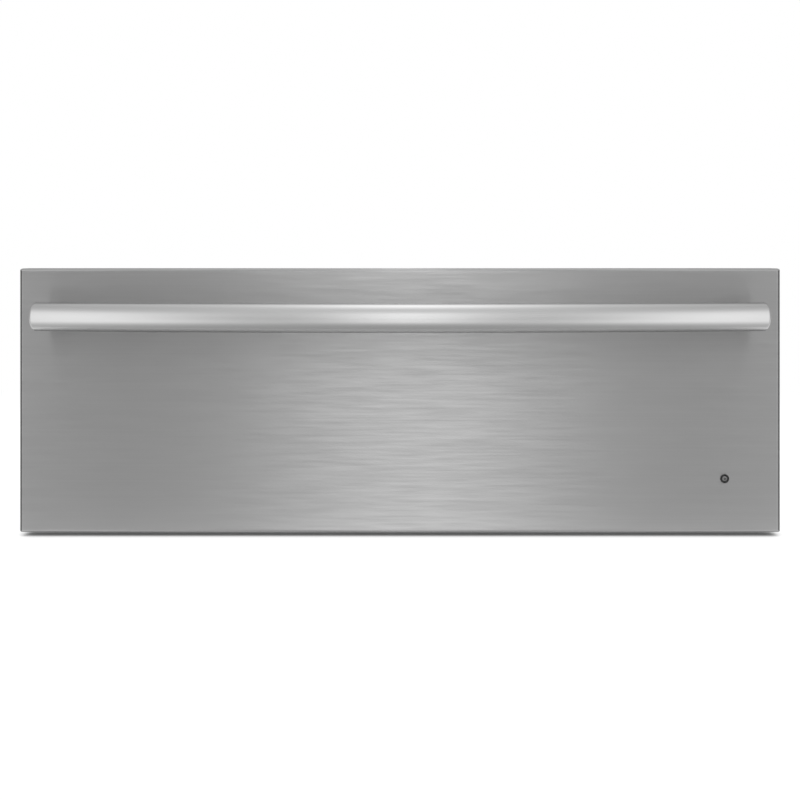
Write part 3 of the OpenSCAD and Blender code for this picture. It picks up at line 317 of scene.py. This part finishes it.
def galvanised_sheet(name, colour, wear):
    """Zinc-coated sheet with its crystals and handling marks"""
    shader = Shader(name)
    crystals = shader.node("ShaderNodeSeparateColor")
    shader.link(shader.cells(170.0), crystals.inputs[0])
    flow = shader.noise(6.0, detail=5.0)
    scuffs = shader.noise(1.0, detail=3.0, stretch=(3.0, 260.0, 190.0))
    shade = shader.spread(crystals.outputs[0], 0.94, 1.06, start=0.0, end=1.0)
    gloss = shader.spread(crystals.outputs[1], 0.40, 0.50, start=0.0, end=1.0)
    scuffed = shader.spread(scuffs, 0.0, 0.12 * wear, start=0.55, end=0.7)
    shader.set(Metallic=0.85)
    shader.tint(colour, shader.math("MULTIPLY", shade, shader.spread(flow, 0.95, 1.05)))
    shader.rough(shader.math("ADD", gloss, scuffed))
    shader.bump(flow, strength=0.15, distance=0.001)
    return shader


def plain(name, colour, *, roughness, metallic=0.0, grain=(400.0, 0.05), vary=0.06, **values):
    """A plain finish with a faint unevenness and a fine grain, given as its scale and strength"""
    shader = Shader(name)
    fine = shader.noise(grain[0], detail=3.0)
    cloud = shader.noise(12.0, detail=4.0)
    shader.set(Metallic=metallic, **values)
    shader.tint(colour, shader.spread(cloud, 1 - vary, 1 + vary))
    shader.rough(shader.spread(cloud, roughness * (1 - CLOUD_DEPTH), roughness * (1 + CLOUD_DEPTH)))
    shader.bump(fine, strength=grain[1], distance=0.0005)
    return shader


def paint(finish, *names):
    """Gives the finish to these CAD nodes"""
    for name in names:
        node = bpy.data.objects[name]
        node.data.materials.clear()
        node.data.materials.append(finish.material)


# ---------------------------------------------------------------- shapes


def add_mesh(name, verts, faces, smooth=True):
    """A new mesh object of the scene, with all faces outwards"""
    mesh = bpy.data.meshes.new(name)
    mesh.from_pydata([tuple(v) for v in verts], [], faces)
    mesh.update()
    work = bmesh.new()
    work.from_mesh(mesh)
    bmesh.ops.recalc_face_normals(work, faces=work.faces)
    work.to_mesh(mesh)
    work.free()
    for face in mesh.polygons:
        face.use_smooth = smooth
    made = bpy.data.objects.new(name, mesh)
    bpy.context.scene.collection.objects.link(made)
    return made


def add_blocks(name, blocks):
    """Flat-sided blocks in one mesh, each given by the four corners of its near face and of its far one"""
    verts, faces = [], []
    for near, far in blocks:
        base = len(verts)
        verts += [*near, *far]
        faces.append(tuple(base + i for i in (0, 1, 2, 3)))
        faces.append(tuple(base + i for i in (7, 6, 5, 4)))
        for i in range(4):
            j = (i + 1) % 4
            faces.append((base + i, base + i + 4, base + j + 4, base + j))
    return add_mesh(name, verts, faces, smooth=False)


class Bow:
    """The handle's bow, worked out from the box of the frame's own tube"""

    FIRST_END = 0.17  # a first guess at the angle from the bow's middle to its ends
    ROUNDS = 40  # of working that angle and the bow's radius out from each other

    def __init__(self):
        low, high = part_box("handle_bar")
        self.z = (low[2] + high[2]) / 2
        self.r = (high[2] - low[2]) / 2
        self.mid_y = low[1] + self.r
        self.end = self.FIRST_END
        for _ in range(self.ROUNDS):
            self.bow_r = high[0] / math.sin(self.end) - self.r
            rise = high[1] - self.mid_y - self.r * math.cos(self.end)
            self.end = math.acos(1 - rise / self.bow_r)

    def sweep(self, rings, around=72):
        """Skin of round rings given as (angle from the bow's middle, radius), with a disc at both ends"""
        verts, faces = [], []
        up = Vector((0.0, 0.0, 1.0))
        for angle, radius in [rings[0], *rings, rings[-1]]:
            y = self.mid_y + self.bow_r * (1 - math.cos(angle))
            centre = Vector((self.bow_r * math.sin(angle), y, self.z))
            outward = Vector((math.sin(angle), -math.cos(angle), 0.0))
            for i in range(around):
                a = 2 * math.pi * i / around
                verts.append(centre + radius * (math.cos(a) * outward + math.sin(a) * up))
        for row in range(1, len(rings)):
            here, there = row * around, (row + 1) * around
            for i in range(around):
                j = (i + 1) % around
                faces.append((here + i, here + j, there + j, there + i))
        faces.append(tuple(range(around)))
        faces.append(tuple((len(rings) + 1) * around + i for i in range(around)))
        return verts, faces


# ---------------------------------------------------------------- operators


class WARMINGDRAWER_OT_front(bpy.types.Operator):
    """Gives the front its horizontally brushed stainless steel, with painted shade on its side bends"""

    bl_idname = "warming_drawer.front"
    bl_label = "Dress the Front"
    bl_options = {"REGISTER", "UNDO"}

    def execute(self, context):
        looks = context.scene.warming_drawer_looks
        # the front's side bends get painted shade
        skin = brushed_steel("brushed front", looks.steel, "X", looks.brush, roughness=0.39, bend_shade=0.75)
        skin.grain("Z", 1.0)
        paint(skin, "front_skin")
        inner = brushed_steel("front panel steel", grey(0.55), "X", looks.brush, looks.wear, roughness=0.36)
        inner.grain("Z", 0.5)
        paint(inner, "front_inner_panel", "vent_slider")
        return {"FINISHED"}


class WARMINGDRAWER_OT_handle(bpy.types.Operator):
    """Builds the handle's smooth tube and caps and finishes its posts"""

    bl_idname = "warming_drawer.handle"
    bl_label = "Dress the Handle"
    bl_options = {"REGISTER", "UNDO"}

    CAP_THICK = 0.0027  # thickness of an end cap
    CAP_EDGE = 0.0022  # radius of its rounded edge
    CAP_STEPS = 10  # round that edge
    HALF_STEPS = 80  # from the tube's middle to an end
    RIM_SHADES = {"tube": 0.5, "cap": 0.3}  # the brightness that painted rim shade leaves on the rims

    def finish(self, part, looks):
        """The handle's steel, brushed lightly along it, with painted shade on its rims"""
        marks = looks.brush * 0.2
        shader = brushed_steel(part + " steel", grey(0.67), "X", marks, roughness=0.30, rim_shade=self.RIM_SHADES[part])
        shader.grain_round((1.0, 0.0, 0.0), 0.6)
        return shader.material

    def cap_outline(self, radius):
        """A cap's outline as (distance from the tube's end, radius)"""
        outline = [(0.0, radius)]
        edge = self.CAP_EDGE
        for step in range(self.CAP_STEPS + 1):
            turn = math.pi / 2 * step / self.CAP_STEPS
            off = self.CAP_THICK - edge + edge * math.sin(turn)
            outline.append((off, radius - edge + edge * math.cos(turn)))
        return outline

    def execute(self, context):
        looks = context.scene.warming_drawer_looks
        finishes = {part: self.finish(part, looks) for part in self.RIM_SHADES}
        bow = Bow()
        steps = range(2 * self.HALF_STEPS + 1)
        rings = [(bow.end * (step / self.HALF_STEPS - 1), bow.r) for step in steps]
        tube = add_mesh("handle_tube", *bow.sweep(rings))
        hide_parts("handle_bar")
        pieces = [(tube, "tube")]
        for side, label in ((-1, "left"), (1, "right")):
            rings = [(side * (bow.end + off / bow.bow_r), r) for off, r in self.cap_outline(bow.r)]
            cap = add_mesh("handle_cap_" + label, *bow.sweep(rings))
            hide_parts("handle_end_caps")
            pieces.append((cap, "cap"))
        for piece, part in pieces:
            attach(piece, "drawer")
            piece.data.materials.append(finishes[part])
        post = brushed_steel("post steel", grey(0.6), "Y", looks.brush * 0.5, roughness=0.25)
        paint(post, "handle_post_left", "handle_post_right")
        return {"FINISHED"}


class WARMINGDRAWER_OT_indicator(bpy.types.Operator):
    """Finishes the indicator's bezel, its clear rod and the lamp behind it"""

    bl_idname = "warming_drawer.indicator"
    bl_label = "Dress the Indicator"
    bl_options = {"REGISTER", "UNDO"}

    DOT = (0.0007, 0.0017)  # radius of the dark dot in the rod's middle, and where it has faded out
    DOT_LIGHT = 0.04  # the dot's brightness, as a share of the rod's

    def execute(self, context):
        bezel = plain("gloss black", grey(0.008), roughness=0.1, grain=(900.0, 0.01))
        paint(bezel, "indicator_bezel")
        rod = Shader("clear rod")
        low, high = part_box("indicator_light_pipe")
        middle = ((low[0] + high[0]) / 2, 0.0, (low[2] + high[2]) / 2)
        from_axis = rod.node("ShaderNodeVectorMath", {1: middle}, operation="DISTANCE")
        rod.link(rod.stretched((1.0, 0.0, 1.0)), from_axis.inputs[0])
        rod.tint(grey(0.27), rod.spread(from_axis.outputs["Value"], self.DOT_LIGHT, 1.0, *self.DOT))
        rod.set(Roughness=0.12, Coat_Weight=0.6, Coat_Roughness=0.04)
        paint(rod, "indicator_light_pipe")
        lamp = plain("amber lens", (0.75, 0.28, 0.04), roughness=0.2, grain=(900.0, 0.01), Coat_Weight=0.4)
        paint(lamp, "pilot_lamp")
        return {"FINISHED"}


class WARMINGDRAWER_OT_controls(bpy.types.Operator):
    """Finishes the knob, its dial and pointer, the thermostat and small fittings"""

    bl_idname = "warming_drawer.controls"
    bl_label = "Dress the Controls"
    bl_options = {"REGISTER", "UNDO"}

    MARKS = 28  # on the dial, clockwise from its top
    MARK_TURN = 10  # degrees from one mark to the next
    MARK_EDGE = 0.0006  # from the dial's edge to the marks
    MARK_LENGTHS = {9: 0.0022, 3: 0.0012, 1: 0.0007}  # of each ninth mark, each third, and the others
    BOLD, FINE = 0.0005, 0.0003  # half the width of each third mark, and of the others
    PRINT = 0.00012  # thickness of the marks
    POINTER_SIDE = 0.0006  # half the pointer's width
    POINTER_FACES = (0.0002, 0.0008)  # how far behind the knob's front it begins and ends
    POINTER_GAPS = (0.0022, 0.0042)  # from the knob's middle, and from its edge

    def dial_marks(self, white, cx, cz):
        """Printed marks round the dial"""
        low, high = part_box("dial_plate")
        outer = (high[0] - low[0]) / 2 - self.MARK_EDGE
        centre = Vector((cx, 0, cz))
        blocks = []
        for step in range(self.MARKS):
            turn = math.radians(90 - step * self.MARK_TURN)
            out = Vector((math.cos(turn), 0, math.sin(turn)))
            across = Vector((-math.sin(turn), 0, math.cos(turn))) * (self.FINE if step % 3 else self.BOLD)
            inner = outer - next(size for each, size in self.MARK_LENGTHS.items() if step % each == 0)
            places = ((outer, -1), (outer, 1), (inner, 1), (inner, -1))
            corners = [centre + out * r + across * side for r, side in places]
            depths = (low[1] - self.PRINT, low[1])
            blocks.append([[corner + Vector((0, depth, 0)) for corner in corners] for depth in depths])
        marks = add_blocks("dial_marks", blocks)
        marks.data.materials.append(white.material)
        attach(marks, "chassis")

    def pointer(self, white, cx, cz):
        """The knob's moulded pointer, upright at rest"""
        low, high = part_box("control_knob")
        left, right = cx - self.POINTER_SIDE, cx + self.POINTER_SIDE
        bottom, top = cz + self.POINTER_GAPS[0], cz + (high[2] - low[2]) / 2 - self.POINTER_GAPS[1]
        places = ((left, bottom), (right, bottom), (right, top), (left, top))
        block = [[(x, low[1] + depth, z) for x, z in places] for depth in self.POINTER_FACES]
        pointer = add_blocks("knob_pointer", [block])
        pointer.data.materials.append(white.material)
        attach(pointer, "control_knob")

    def execute(self, context):
        plastic = plain("black plastic", (0.022, 0.022, 0.023), roughness=0.42, grain=(1500.0, 0.12))
        paint(plastic, "control_knob", "cord_gland", "gland_nut", "thermal_cutout")
        paint(plain("dial enamel", (0.05, 0.05, 0.055), roughness=0.35, metallic=0.6), "dial_plate")
        paint(plain("passivated case", (0.46, 0.43, 0.33), roughness=0.35, metallic=0.9), "thermostat_body")
        steel = plain("zinc fasteners", grey(0.5), roughness=0.32, metallic=1.0, grain=(700.0, 0.1))
        paint(steel, "thermostat_shaft", "handle_screws", "tapping_screws", "drawer_rivets", "bulb_clips")
        white = plain("dial marks", (0.78, 0.78, 0.76), roughness=0.5)
        low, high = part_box("dial_plate")
        cx, cz = (low[0] + high[0]) / 2, (low[2] + high[2]) / 2
        self.dial_marks(white, cx, cz)
        self.pointer(white, cx, cz)
        return {"FINISHED"}


class WARMINGDRAWER_OT_drawer(bpy.types.Operator):
    """Finishes the pan, the cavity's liner, the rack, the drawer's frame and the seal"""

    bl_idname = "warming_drawer.drawer"
    bl_label = "Dress the Drawer"
    bl_options = {"REGISTER", "UNDO"}

    def execute(self, context):
        looks = context.scene.warming_drawer_looks
        brush = looks.brush * 0.7
        pan = brushed_steel("pan steel", grey(0.60), "X", brush, looks.wear, roughness=0.3)
        paint(pan, "warming_pan")
        liner = brushed_steel("liner steel", grey(0.5), "Y", brush, looks.wear, roughness=0.36)
        paint(liner, "cavity_liner")
        chrome = plain("chromed wire", (0.72, 0.72, 0.73), roughness=0.1, metallic=1.0, grain=(500.0, 0.03))
        paint(chrome, "wire_rack")
        rails = galvanised_sheet("drawer frame zinc", (0.58, 0.59, 0.60), looks.wear)
        paint(rails, "drawer_rail_left", "drawer_rail_right", "drawer_front_rail", "drawer_rear_rail")
        seal = plain("silicone seal", (0.035, 0.035, 0.036), roughness=0.62, grain=(300.0, 0.2))
        paint(seal, "front_seal")
        return {"FINISHED"}


class WARMINGDRAWER_OT_slides(bpy.types.Operator):
    """Finishes the telescopic slides and their ball cages"""

    bl_idname = "warming_drawer.slides"
    bl_label = "Dress the Slides"
    bl_options = {"REGISTER", "UNDO"}

    def execute(self, context):
        looks = context.scene.warming_drawer_looks
        zinc = brushed_steel("zinc slides", (0.58, 0.59, 0.60), "Y", looks.brush, looks.wear, roughness=0.3)
        for member in ("outer", "middle", "inner"):
            paint(zinc, "slide_%s_left" % member, "slide_%s_right" % member)
        brass = plain("ball cages", (0.62, 0.60, 0.52), roughness=0.22, metallic=1.0)
        for cage in ("outer", "inner"):
            paint(brass, "ball_cage_%s_left" % cage, "ball_cage_%s_right" % cage)
        return {"FINISHED"}


class WARMINGDRAWER_OT_casing(bpy.types.Operator):
    """Finishes the casing, its base, the brackets and element supports, the pads and the loom"""

    bl_idname = "warming_drawer.casing"
    bl_label = "Dress the Casing"
    bl_options = {"REGISTER", "UNDO"}

    def execute(self, context):
        looks = context.scene.warming_drawer_looks
        sheet = galvanised_sheet("casing zinc", looks.galvanised, looks.wear)
        paint(sheet, "front_frame", "casing_wrap", "top_cover", "back_panel", "base_rails")
        paint(sheet, "slide_bracket_left", "slide_bracket_right", "element_supports")
        rubber = plain("black rubber", grey(0.018), roughness=0.7, grain=(350.0, 0.25))
        paint(rubber, "rubber_pads", "wiring_loom")
        return {"FINISHED"}


class WARMINGDRAWER_OT_inside(bpy.types.Operator):
    """Finishes the insulation, the element and the other pieces inside"""

    bl_idname = "warming_drawer.inside"
    bl_label = "Dress the Inside"
    bl_options = {"REGISTER", "UNDO"}

    WOOL_SIDES = ("top", "bottom", "left", "right", "back")

    def execute(self, context):
        looks = context.scene.warming_drawer_looks
        wool = Shader("mineral wool")
        fibres = wool.noise(1.0, detail=6.0, stretch=(60.0, 420.0, 420.0), roughness=0.7)
        clumps = wool.noise(28.0, detail=5.0)
        wool.set(Roughness=0.95)
        light = wool.math("MULTIPLY", wool.spread(fibres, 0.7, 1.25), wool.spread(clumps, 0.85, 1.12))
        wool.tint(looks.wool, light)
        wool.bump(wool.math("ADD", fibres, clumps), strength=0.8, distance=0.003)
        paint(wool, "front_insulation", *["insulation_" + side for side in self.WOOL_SIDES])
        burnt = (0.07, 0.06, 0.055)
        sheath = plain("element sheath", burnt, roughness=0.5, metallic=0.7, grain=(220.0, 0.2), vary=0.35)
        paint(sheath, "heating_element")
        ceramic = plain("white ceramic", (0.72, 0.69, 0.60), roughness=0.35)
        paint(ceramic, "element_bushings", "terminal_block")
        copper = plain("copper tube", (0.62, 0.30, 0.19), roughness=0.25, metallic=1.0, vary=0.15)
        paint(copper, "capillary_tube", "thermostat_bulb")
        return {"FINISHED"}


class WARMINGDRAWER_OT_stage(bpy.types.Operator):
    """Sets up the camera, the room's soft light and the floor"""

    bl_idname = "warming_drawer.stage"
    bl_label = "Set Up the Stage"
    bl_options = {"REGISTER", "UNDO"}

    PHOTO_SPAN = 0.7937  # width of the picture at the front's face
    PHOTO_MIDDLE = 0.1355  # height on the front's face that lies in the middle of the picture
    SENSOR = 36.0  # width of the camera's sensor, in millimetres
    CLIP = 0.01  # distance from which the camera sees
    AMBIENT = 0.41  # the room's even light
    # each glow's place and width across, height and width upwards, side of the room, and strength
    GLOWS = {
        "strip_high": (0.012, 0.1, 0.55, 0.2, "front", 1.6),
        "strip_mid": (0.012, 0.1, 0.15, 0.2, "front", 1.55),
        "strip_low": (0.012, 0.1, -0.35, 0.25, "front", 1.4),
        "strip_back": (0.012, 0.1, 0.9, 0.3, "back", 1.0),
        "flanks": (0.3, 0.12, 0.5, 0.3, "front", 0.25),
        "sides_high": (0.5, 0.15, 0.5, 0.25, "front", 0.64),
        "sides_mid": (0.5, 0.15, 0.05, 0.25, "front", 0.62),
        "low_wide": (0.45, 0.2, -0.45, 0.25, "front", 0.78),
        "wide_sides": (0.6, 0.2, 0.0, 0.8, "front", 0.42),
        "zenith": (0.0, 0.35, 0.95, 0.2, "both", 0.35),
        "behind": (0.0, 0.9, -0.1, 0.8, "behind", 0.5),
    }
    PAIRED = 0.2  # a glow that lies farther across than this stands on both sides
    # where along the depth of the room each side's glows fade in
    GATES = {"front": (0.25, -0.25), "back": (-0.25, 0.25), "behind": (0.0, 0.5)}
    FLOOR_REACH = 8.0  # half the floor's width
    FLOOR_GREY = 0.6  # the floor's colour in soft light
    FLOOR_PAINTED_SHADE = 0.1  # its colour in reflections close to the drawer, a painted shade
    FLOOR_SHARE = 0.45  # how much of the light it shows to the camera
    FLOOR_LIFT = 0.78  # how much it glows to the camera in the open
    FLOOR_PAINTED_SHADOW = 0.04  # how much it glows to the camera at the darkest of the painted contact shadow, close to the drawer
    CONTACT = 0.014  # reach of the painted contact shadow under the drawer, and of the painted shade it shows in reflections
    CONTACT_SAMPLES = 16
    OPEN = (0.12, 0.76)  # how open the floor is at the darkest of the painted shadow, and where it ends
    FADE = (0.6, 1.3)  # distances from the drawer's middle between which the floor turns plain white
    FLOOR_PAINTED_SHEEN = 0.4  # a painted sheen: how much the floor glows in reflections only, right in front of the drawer
    PAINTED_SHEEN_DEPTH = 0.045  # how far in front of it the painted sheen fades out

    def camera(self, scene, stage, front):
        """The camera straight before the front, shifted to the photograph's frame"""
        camera = bpy.data.cameras.new("camera")
        camera.sensor_width = self.SENSOR
        camera.lens = self.SENSOR * stage.camera_distance / self.PHOTO_SPAN
        camera.shift_y = (self.PHOTO_MIDDLE - stage.camera_height) / self.PHOTO_SPAN
        camera.clip_start = self.CLIP
        placed = bpy.data.objects.new("camera", camera)
        placed.location = (0.0, front - stage.camera_distance, stage.camera_height)
        placed.rotation_euler = (math.pi / 2, 0.0, 0.0)
        scene.collection.objects.link(placed)
        scene.camera = placed

    def world(self, scene, power):
        """The studio: white to the camera, and soft glowing walls to everything else"""
        world = bpy.data.worlds.new("studio")
        scene.world = world
        world.use_nodes = True
        nodes = Nodes(world.node_tree)

        def hill(value, centre, width):
            """1 at the centre, and softly down to 0 on both sides of it"""
            off = nodes.math("DIVIDE", nodes.math("SUBTRACT", value, centre), width)
            return nodes.math("EXPONENT", nodes.math("MULTIPLY", nodes.math("MULTIPLY", off, off), -1.0))

        across, depth, up = nodes.split(nodes.node("ShaderNodeTexCoord").outputs["Generated"])
        aside = nodes.math("ABSOLUTE", across)
        total = self.AMBIENT
        for name, (x, x_width, z, z_width, side, strength) in self.GLOWS.items():
            beam = hill(aside if x > self.PAIRED else across, x, x_width)
            shape = nodes.math("MULTIPLY", beam, hill(up, z, z_width))
            if side in self.GATES:
                gate = nodes.spread(depth, 0.0, 1.0, *self.GATES[side], interpolation_type="SMOOTHSTEP")
                shape = nodes.math("MULTIPLY", shape, gate)
            glow = nodes.math("MULTIPLY", shape, strength)
            glow.node.label = name
            total = nodes.math("ADD", total, glow)
        plain_white = {"Color": (*grey(1.0), 1.0)}
        room = nodes.node("ShaderNodeBackground", plain_white)
        nodes.link(nodes.math("MULTIPLY", total, power), room.inputs["Strength"])
        white = nodes.node("ShaderNodeBackground", plain_white)
        path = nodes.node("ShaderNodeLightPath").outputs
        seen = nodes.math("MAXIMUM", path["Is Camera Ray"], path["Is Transmission Ray"])
        surface = nodes.mixed(seen, room.outputs[0], white.outputs[0])
        nodes.link(surface, nodes.node("ShaderNodeOutputWorld").inputs["Surface"])

    def floor(self, front):
        """A floor that is white to the camera with the drawer's shadow, partly real and partly a painted
        contact shadow, clear from below, grey in soft light, and with painted shade and a painted sheen in
        reflections close to the drawer"""
        reach = self.FLOOR_REACH
        corners = [(-reach, -reach, 0), (reach, -reach, 0), (reach, reach, 0), (-reach, reach, 0)]
        floor = add_mesh("floor", corners, [(0, 1, 2, 3)], smooth=False)
        material = bpy.data.materials.new("floor")
        material.use_nodes = True
        nodes = Nodes(material.node_tree)

        def diffuse(share):
            return nodes.node("ShaderNodeBsdfDiffuse", {"Color": (*grey(share), 1.0)}).outputs[0]

        def glow(strength):
            made = nodes.node("ShaderNodeEmission")
            nodes.link(strength, made.inputs["Strength"])
            return made.outputs[0]

        def clear():
            return nodes.node("ShaderNodeBsdfTransparent").outputs[0]

        contact = nodes.node("ShaderNodeAmbientOcclusion", samples=self.CONTACT_SAMPLES)
        contact.inputs["Distance"].default_value = self.CONTACT
        openness = contact.outputs["AO"]
        place = nodes.node("ShaderNodeTexCoord").outputs["Object"]
        path = nodes.node("ShaderNodeLightPath").outputs

        # painted contact shadow: the floor's glow to the camera drops where ambient occlusion finds the
        # drawer close; the diffuse share adds the real shadow
        glow_with_painted_shadow = nodes.spread(openness, self.FLOOR_PAINTED_SHADOW, self.FLOOR_LIFT, *self.OPEN)
        near = nodes.added(diffuse(self.FLOOR_SHARE), glow(glow_with_painted_shadow))
        distance = nodes.node("ShaderNodeVectorMath", operation="LENGTH")
        nodes.link(place, distance.inputs[0])
        fade = nodes.spread(distance.outputs["Value"], 0.0, 1.0, *self.FADE)
        white = nodes.node("ShaderNodeEmission", {"Strength": 1.0}).outputs[0]
        seen = nodes.mixed(fade, near, white)
        below = nodes.node("ShaderNodeNewGeometry").outputs["Backfacing"]
        seen = nodes.mixed(below, seen, clear())

        # painted reflections: close to the drawer the floor shows reflections a dark painted shade, and right
        # in front of it a painted sheen that glows in reflections only
        depth = nodes.split(place)["Y"]
        painted_sheen = nodes.spread(depth, 0.0, self.FLOOR_PAINTED_SHEEN, front - self.PAINTED_SHEEN_DEPTH, front)
        mirrored = nodes.mixed(openness, diffuse(self.FLOOR_PAINTED_SHADE), nodes.added(clear(), glow(painted_sheen)))
        other = nodes.mixed(path["Is Glossy Ray"], diffuse(self.FLOOR_GREY), mirrored)
        surface = nodes.mixed(path["Is Camera Ray"], other, seen)
        nodes.link(surface, nodes.node("ShaderNodeOutputMaterial").inputs["Surface"])
        floor.data.materials.append(material)

    def execute(self, context):
        stage = context.scene.warming_drawer_stage
        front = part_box("front_skin")[0][1]
        self.camera(context.scene, stage, front)
        self.world(context.scene, stage.light)
        self.floor(front)
        context.scene.view_settings.view_transform = "Standard"
        return {"FINISHED"}


class WARMINGDRAWER_PT_panel(bpy.types.Panel):
    """Settings and steps of the warming drawer"""

    bl_label = "Warming Drawer"
    bl_idname = "WARMINGDRAWER_PT_panel"
    bl_space_type = "VIEW_3D"
    bl_region_type = "UI"
    bl_category = "Warming Drawer"

    def draw(self, context):
        layout = self.layout
        for settings in (context.scene.warming_drawer_looks, context.scene.warming_drawer_stage):
            for name in settings.__annotations__:
                layout.prop(settings, name)
        for step in STEPS:
            layout.operator(step.bl_idname)


STEPS = (
    WARMINGDRAWER_OT_front,
    WARMINGDRAWER_OT_handle,
    WARMINGDRAWER_OT_indicator,
    WARMINGDRAWER_OT_controls,
    WARMINGDRAWER_OT_drawer,
    WARMINGDRAWER_OT_slides,
    WARMINGDRAWER_OT_casing,
    WARMINGDRAWER_OT_inside,
    WARMINGDRAWER_OT_stage,
)
CLASSES = (WarmingDrawerLooks, WarmingDrawerStage, *STEPS, WARMINGDRAWER_PT_panel)


def register():
    for kind in CLASSES:
        bpy.utils.register_class(kind)
    bpy.types.Scene.warming_drawer_looks = bpy.props.PointerProperty(type=WarmingDrawerLooks)
    bpy.types.Scene.warming_drawer_stage = bpy.props.PointerProperty(type=WarmingDrawerStage)


def unregister():
    del bpy.types.Scene.warming_drawer_looks
    del bpy.types.Scene.warming_drawer_stage
    for kind in reversed(CLASSES):
        bpy.utils.unregister_class(kind)


def main():
    register()
    bpy.ops.warming_drawer.front()
    bpy.ops.warming_drawer.handle()
    bpy.ops.warming_drawer.indicator()
    bpy.ops.warming_drawer.controls()
    bpy.ops.warming_drawer.drawer()
    bpy.ops.warming_drawer.slides()
    bpy.ops.warming_drawer.casing()
    bpy.ops.warming_drawer.inside()
    bpy.ops.warming_drawer.stage()


if __name__ == "__main__":
    main()
